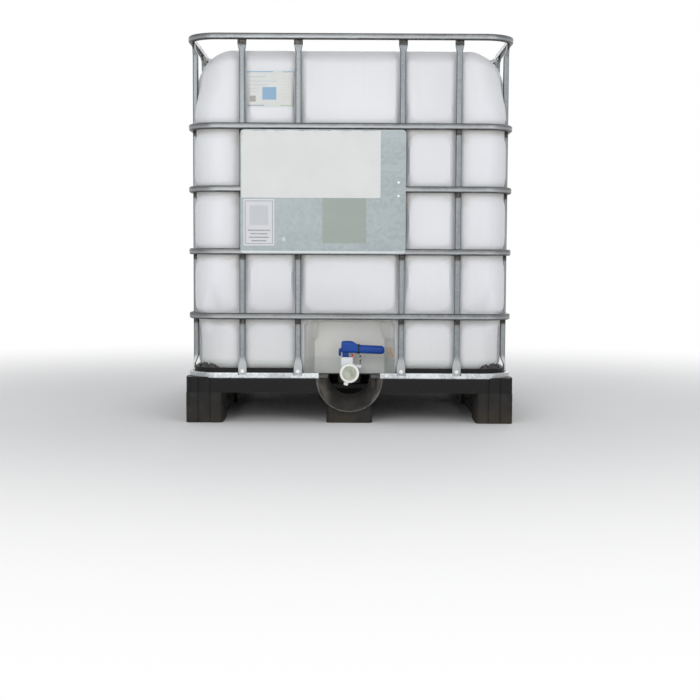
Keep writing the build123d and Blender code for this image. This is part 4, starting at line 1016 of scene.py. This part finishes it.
# ---------------------------------------------------------------- marking plate
# A sheet of galvanised steel hung on the cage, with a bead round its edge. It has a stained
# zone where an older sticker was, and faint ruled boxes pressed into its right side.
plate_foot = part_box("marking_plate")[0][2]
plate_finish, place = start_finish("galvanised_sheet")
wide, height = place.axis("X"), place.axis("Z")
crystals = place.node("TexVoronoi", out=1, Vector=place, Scale=95.0)
crystals = crystals.node("SeparateColor", Color=crystals)
rolled = place.noise(6.0, 4.0, 0.6, (0.3, 1, 1.6))
wear = place.noise(34.0, 5.0, 0.7)
spangle = (crystals * 0.25 + rolled * 0.75).step(0.3, 0.72)
STAIN_LEFT = -0.084
STAIN_RIGHT = 0.049
STAIN_TOP = 0.684
STAIN_BOTTOM = 0.548
edge = (place.noise(90.0, 3.0) - 0.5) * 0.004
stain = band(wide + edge, STAIN_LEFT, STAIN_RIGHT, 0.0015)
stain = stain * band(height + edge, STAIN_BOTTOM, STAIN_TOP, 0.0015)
spots = wear.step(0.60, 0.68) * band(wide, -0.235, -0.185, 0.02) * band(height, 0.545, 0.60, 0.02)
scuffs = place.noise(120.0, 5.0, 0.75, (0.25, 1, 1)).step(0.58, 0.66)
low_edge = height.step(plate_foot + 0.022, plate_foot + 0.004)
bead = band(height, plate_foot + 0.0025, plate_foot + 0.0085, 0.0008)
ruled = (height * 430.0).math("SINE").step(0.80, 0.97)
columns = (wide * 190.0 + 1.0).math("SINE").step(0.90, 0.99)
pressed = (ruled + columns * 0.6) * band(wide, 0.098, 0.152, 0.001) * band(height, 0.70, 0.868, 0.001)
sheet = layered(
    blend_colours(spangle, (0.26, 0.295, 0.305), (0.33, 0.37, 0.38)),
    (stain * 0.75, (0.27, 0.31, 0.27)),
    (spots * 0.7, (0.62, 0.65, 0.65)),
    (scuffs * low_edge * 0.75, (0.10, 0.10, 0.10)),
    (bead * 0.5, (0.72, 0.76, 0.77)),
    (pressed * 0.22, (0.25, 0.28, 0.29)),
)
coat_with(
    plate_finish,
    Base_Color=sheet,
    Metallic=0.3,
    Roughness=0.40 + crystals * 0.1 + stain * 0.12,
    Normal=bumped(rolled * 0.5 + crystals * 0.08 + pressed * 0.35, 0.3, 0.0008),
)
dress(plate_finish, "marking_plate", "plate_hooks", "lock_tab")
dress(moulded("tray_steel", (0.045, 0.047, 0.048), (0.085, 0.088, 0.090), 0.5), "base_tray")

# The blank off-white sticker over the plate's upper part: its top edge has torn and curled
# a little, and its film ripples where air is trapped under it.
sticker_low, sticker_high = corners(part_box("blank_sticker"))
STICKER_SHEET = 0.0002
STICKER_LIMIT = 0.0008
across = np.linspace(sticker_low[0], sticker_high[0], 160)
along = np.linspace(sticker_low[2], sticker_high[2], 80)
grid_x, grid_z = np.meshgrid(across, along)
near_top = smooth((grid_z - along[-1] + 0.020) / 0.020)
near_side = smooth((np.abs(grid_x - across.mean()) - 0.19) / 0.02)
ripple = np.sin(grid_x * 71.0 + 2.0 * np.sin(grid_x * 23.0)) * np.cos(grid_z * 37.0 + grid_x * 11.0)
ripple = 0.5 + 0.5 * ripple
lift = 0.0001 + 0.0007 * near_top * ripple + 0.0001 * ripple + 0.0002 * near_side
tear = 0.0016 * near_top * (np.sin(grid_x * 97.0) * 0.5 + np.sin(grid_x * 231.0 + 1.0) * 0.3 - 0.8)
front_y = sticker_high[1] - STICKER_SHEET - np.clip(lift, 0.0, STICKER_LIMIT)
sticker_film = upright_sheet("sticker_film", grid_x, front_y, grid_z + tear, STICKER_SHEET)
film_finish, place = start_finish("sticker_film")
wide, height = place.axis("X"), place.axis("Z")
smear = place.noise(7.0, 4.0, 0.6)
top_edge = height.step(sticker_high[2] - 0.012, sticker_high[2] - 0.001)
creases = place.noise(75.0, 4.0, 0.7, (0.35, 1, 1)).step(0.50, 0.62)
rust = height.step(sticker_high[2] - 0.045, sticker_high[2] - 0.01)
rust = rust * place.noise(60.0, 4.0).step(0.35, 0.65)
rust = rust * band(wide, sticker_low[0] - 0.01, sticker_low[0] + 0.006, 0.003)
film = layered(
    blend_colours(smear.step(0.3, 0.75), (0.60, 0.61, 0.60), (0.64, 0.65, 0.645)),
    (creases * top_edge * 0.5, (0.42, 0.42, 0.41)),
    (rust * 0.6, (0.40, 0.27, 0.14)),
)
coat_with(
    film_finish,
    Base_Color=film,
    Roughness=0.42 + smear * 0.15,
    Normal=bumped(smear * 0.6 + place.noise(60.0, 3.0) * 0.2, 0.25, 0.0012),
)
finished(sticker_film, film_finish, "container", "sticker_film", "blank_sticker")

# A small white card at the lower left of the plate, its print worn down to a pale frame
# and a few blank rules.
card_low, card_high = corners(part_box("placard"))
card_finish, place = start_finish("placard_film")
across_card = (place.axis("X") - float(card_low[0])) / float(card_high[0] - card_low[0])
up_card = (place.axis("Z") - float(card_low[2])) / float(card_high[2] - card_low[2])
CARD_SOFT = 0.008


def card_field(left, right, low, high):
    """A rectangle of the card, in shares of its width and height, 1 inside."""
    return band(across_card, left, right, CARD_SOFT) * band(up_card, low, high, CARD_SOFT)


worn_print = place.noise(110.0, 4.0, 0.7).step(0.30, 0.52) * 0.35 + 0.65
border = card_field(0.05, 0.95, 0.035, 0.965) - card_field(0.075, 0.925, 0.052, 0.948)
print_colour = layered(
    blend_colours(place.noise(22.0), (0.53, 0.54, 0.56), (0.59, 0.60, 0.62)),
    (border * worn_print * 0.75, (0.20, 0.21, 0.22)),
    (card_field(0.20, 0.80, 0.44, 0.86) * 0.45, (0.34, 0.37, 0.40)),
)
CARD_RULES = ((0.33, 0.14, 0.86), (0.255, 0.22, 0.78), (0.18, 0.18, 0.82), (0.105, 0.26, 0.74))
RULE_HALF = 0.011
for level, left, right in CARD_RULES:
    rule = card_field(left, right, level - RULE_HALF, level + RULE_HALF)
    print_colour = blend_colours(rule * worn_print * 0.8, print_colour, (0.12, 0.12, 0.125))
relief = bumped(place.noise(50.0), 0.2, 0.0005)
coat_with(card_finish, Base_Color=print_colour, Roughness=0.4, Normal=relief)
dress(card_finish, "placard")


# ---------------------------------------------------------------- pallet
# Black moulded polyethylene, scuffed grey on its edges and faces, dusty brown low down.
# The scoop's rim is worn pale and dust streaks run down its sides.
pallet_finish, place = start_finish("pallet_plastic")
wide, deep, height = (place.axis(name) for name in "XYZ")
mottled = place.noise(26.0, 5.0, 0.65)
specks = place.noise(210.0, 3.0, 0.7)
scratches = place.noise(70.0, 4.0, 0.7, (0.12, 1, 1))
mud = height.step(0.085, 0.0) * place.noise(9.0, 5.0, 0.7).step(0.3, 0.7)
DECK_UNDERSIDE = 0.092
deck = height.step(DECK_UNDERSIDE - 0.0005, DECK_UNDERSIDE + 0.0005)
SCOOP_RADIUS = 0.099
SCOOP_END_RADIUS = 0.062
SCOOP_LENGTH = 0.150
FRONT_Y = 0.600
scoop_middle = float(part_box("base_frame")[0][2])
scoop_slope = (SCOOP_RADIUS - SCOOP_END_RADIUS) / SCOOP_LENGTH
from_axis = (wide ** 2.0 + (height - scoop_middle) ** 2.0) ** 0.5
cone = SCOOP_RADIUS - (deep + FRONT_Y) * scoop_slope
in_scoop = (cone + 0.0015 - from_axis).step(0.0, 0.001) * (from_axis - cone + 0.006).step(0.0, 0.001)
in_scoop = in_scoop * deep.step(-0.449, -0.452) * height.step(scoop_middle + 0.001, scoop_middle - 0.001)
sides = abs(wide).step(0.045, 0.085)
dust = place.noise(38.0, 5.0, 0.7, (1, 0.5, 0.35)).step(0.32, 0.68)
worn = place.noise(120.0, 3.0, 0.7).step(0.25, 0.6)
rim = band(from_axis, SCOOP_RADIUS - 0.0005, SCOOP_RADIUS + 0.0022) * deep.step(-0.598, -0.5995)
up = place.node("NewGeometry", out=1).axis("Z").step(0.6, 1.0)
black = layered(
    blend_colours(mottled.step(0.3, 0.7), (0.008, 0.0075, 0.007), (0.019, 0.018, 0.017)),
    (mud * 0.6, (0.050, 0.038, 0.026)),
    (deck * 0.9, (0.0035, 0.0032, 0.0032)),
    (specks.step(0.60, 0.70) * 0.22, (0.10, 0.096, 0.088)),
    (scratches.step(0.60, 0.68) * 0.2, (0.08, 0.079, 0.076)),
    (in_scoop * 0.35, (0.060, 0.059, 0.057)),
    (in_scoop * sides * dust * 0.9, (0.22, 0.20, 0.175)),
    (rim * worn * 0.5, (0.22, 0.22, 0.21)),
    (up * mottled.step(0.3, 0.6) * 0.3, (0.12, 0.115, 0.105)),
)
coat_with(
    pallet_finish,
    Base_Color=black,
    Roughness=0.50 + mottled * 0.2 + mud * 0.1,
    Specular_IOR_Level=0.22,
    Normal=bumped(mottled * 0.5 + specks * 0.25 + scratches * 0.25, 0.4, 0.0008),
)
dress(pallet_finish, "pallet", "pallet_legs", "pallet_skids")

# Black film that fills the corners round the tank's foot, crumpled where it was tucked in.
pads_low, pads_high = corners(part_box("corner_pads"))
FILM_SHEET = 0.0006
FILM_RUN_ON = 0.30
OUTER_RADIUS = 0.0677
outer_x, outer_y = pads_high[:2] - FILM_SHEET
turn = np.linspace(-FILM_RUN_ON, math.pi / 2 + FILM_RUN_ON, 70)
levels = np.linspace(0.0, 1.0, 26)[:, None]


def crumple(turn, level, seed):
    """Overlapping creases: sums of folded sines of the two parameters, from 0 to 1."""
    broad = np.abs(np.sin(turn * 5.3 + level * 4.1 + seed))
    middling = np.abs(np.sin(turn * 11.7 - level * 7.3 + seed * 2.1))
    narrow = np.abs(np.sin(turn * 23.1 + level * 13.7 - seed * 1.3))
    return (broad + 0.6 * middling + 0.35 * narrow) / (1 + 0.6 + 0.35)


def corner_film(name, side_x, side_y, seed):
    """A crumpled sheet round one corner, between the lip and the tank, as a closed sheet.

    It runs up the lip's inner face, over, and leans in to the tank, with creases in both.
    """
    folds = crumple(turn[None, :], levels, seed)
    inward = 0.0012 + 0.0065 * smooth(levels) * folds + 0.0075 * smooth((levels - 0.55) / 0.45)
    from_middle = np.abs(turn - math.pi / 4)
    reach = np.clip(from_middle - math.pi / 4, 0.0, None) * 0.20
    angle = np.clip(turn, 0.0, math.pi / 2)
    x = outer_x - OUTER_RADIUS + (OUTER_RADIUS - inward) * np.cos(angle) - reach * (turn > math.pi / 2)
    y = outer_y - OUTER_RADIUS + (OUTER_RADIUS - inward) * np.sin(angle) - reach * (turn < 0.0)
    tall = (pads_high[2] - pads_low[2]) * (0.62 + 0.38 * crumple(turn, 0.3, seed + 0.7))
    tall = tall * (0.45 + 0.55 * smooth((math.pi / 4 + FILM_RUN_ON - from_middle) / 0.45))
    z = pads_low[2] + levels * tall[None, :]
    front = np.stack([side_x * x, side_y * y, z], 2)
    x, y = x + FILM_SHEET * np.cos(angle), y + FILM_SHEET * np.sin(angle)
    back = np.stack([side_x * x, side_y * y, z], 2)
    if side_x * side_y > 0:
        front, back = front[:, ::-1], back[:, ::-1]
    return sheet_loop(name, front, back)


films = [
    corner_film(f"film_{number}", side_x, side_y, number * 1.9)
    for number, (side_x, side_y) in enumerate(((1, 1), (1, -1), (-1, 1), (-1, -1)))
]
crumpled = joined("corner_films", *films)
crumpled_finish, place = start_finish("black_film")
coat_with(
    crumpled_finish,
    Base_Color=blend_colours(
        place.noise(45.0, 4.0).step(0.35, 0.7), (0.010, 0.010, 0.011), (0.030, 0.030, 0.034)
    ),
    Roughness=0.24 + place.noise(90.0) * 0.2,
    Normal=bumped(place.noise(70.0, 4.0, 0.7), 0.6, 0.003),
)
finished(crumpled, crumpled_finish, "container", "pad_plastic", "corner_pads")
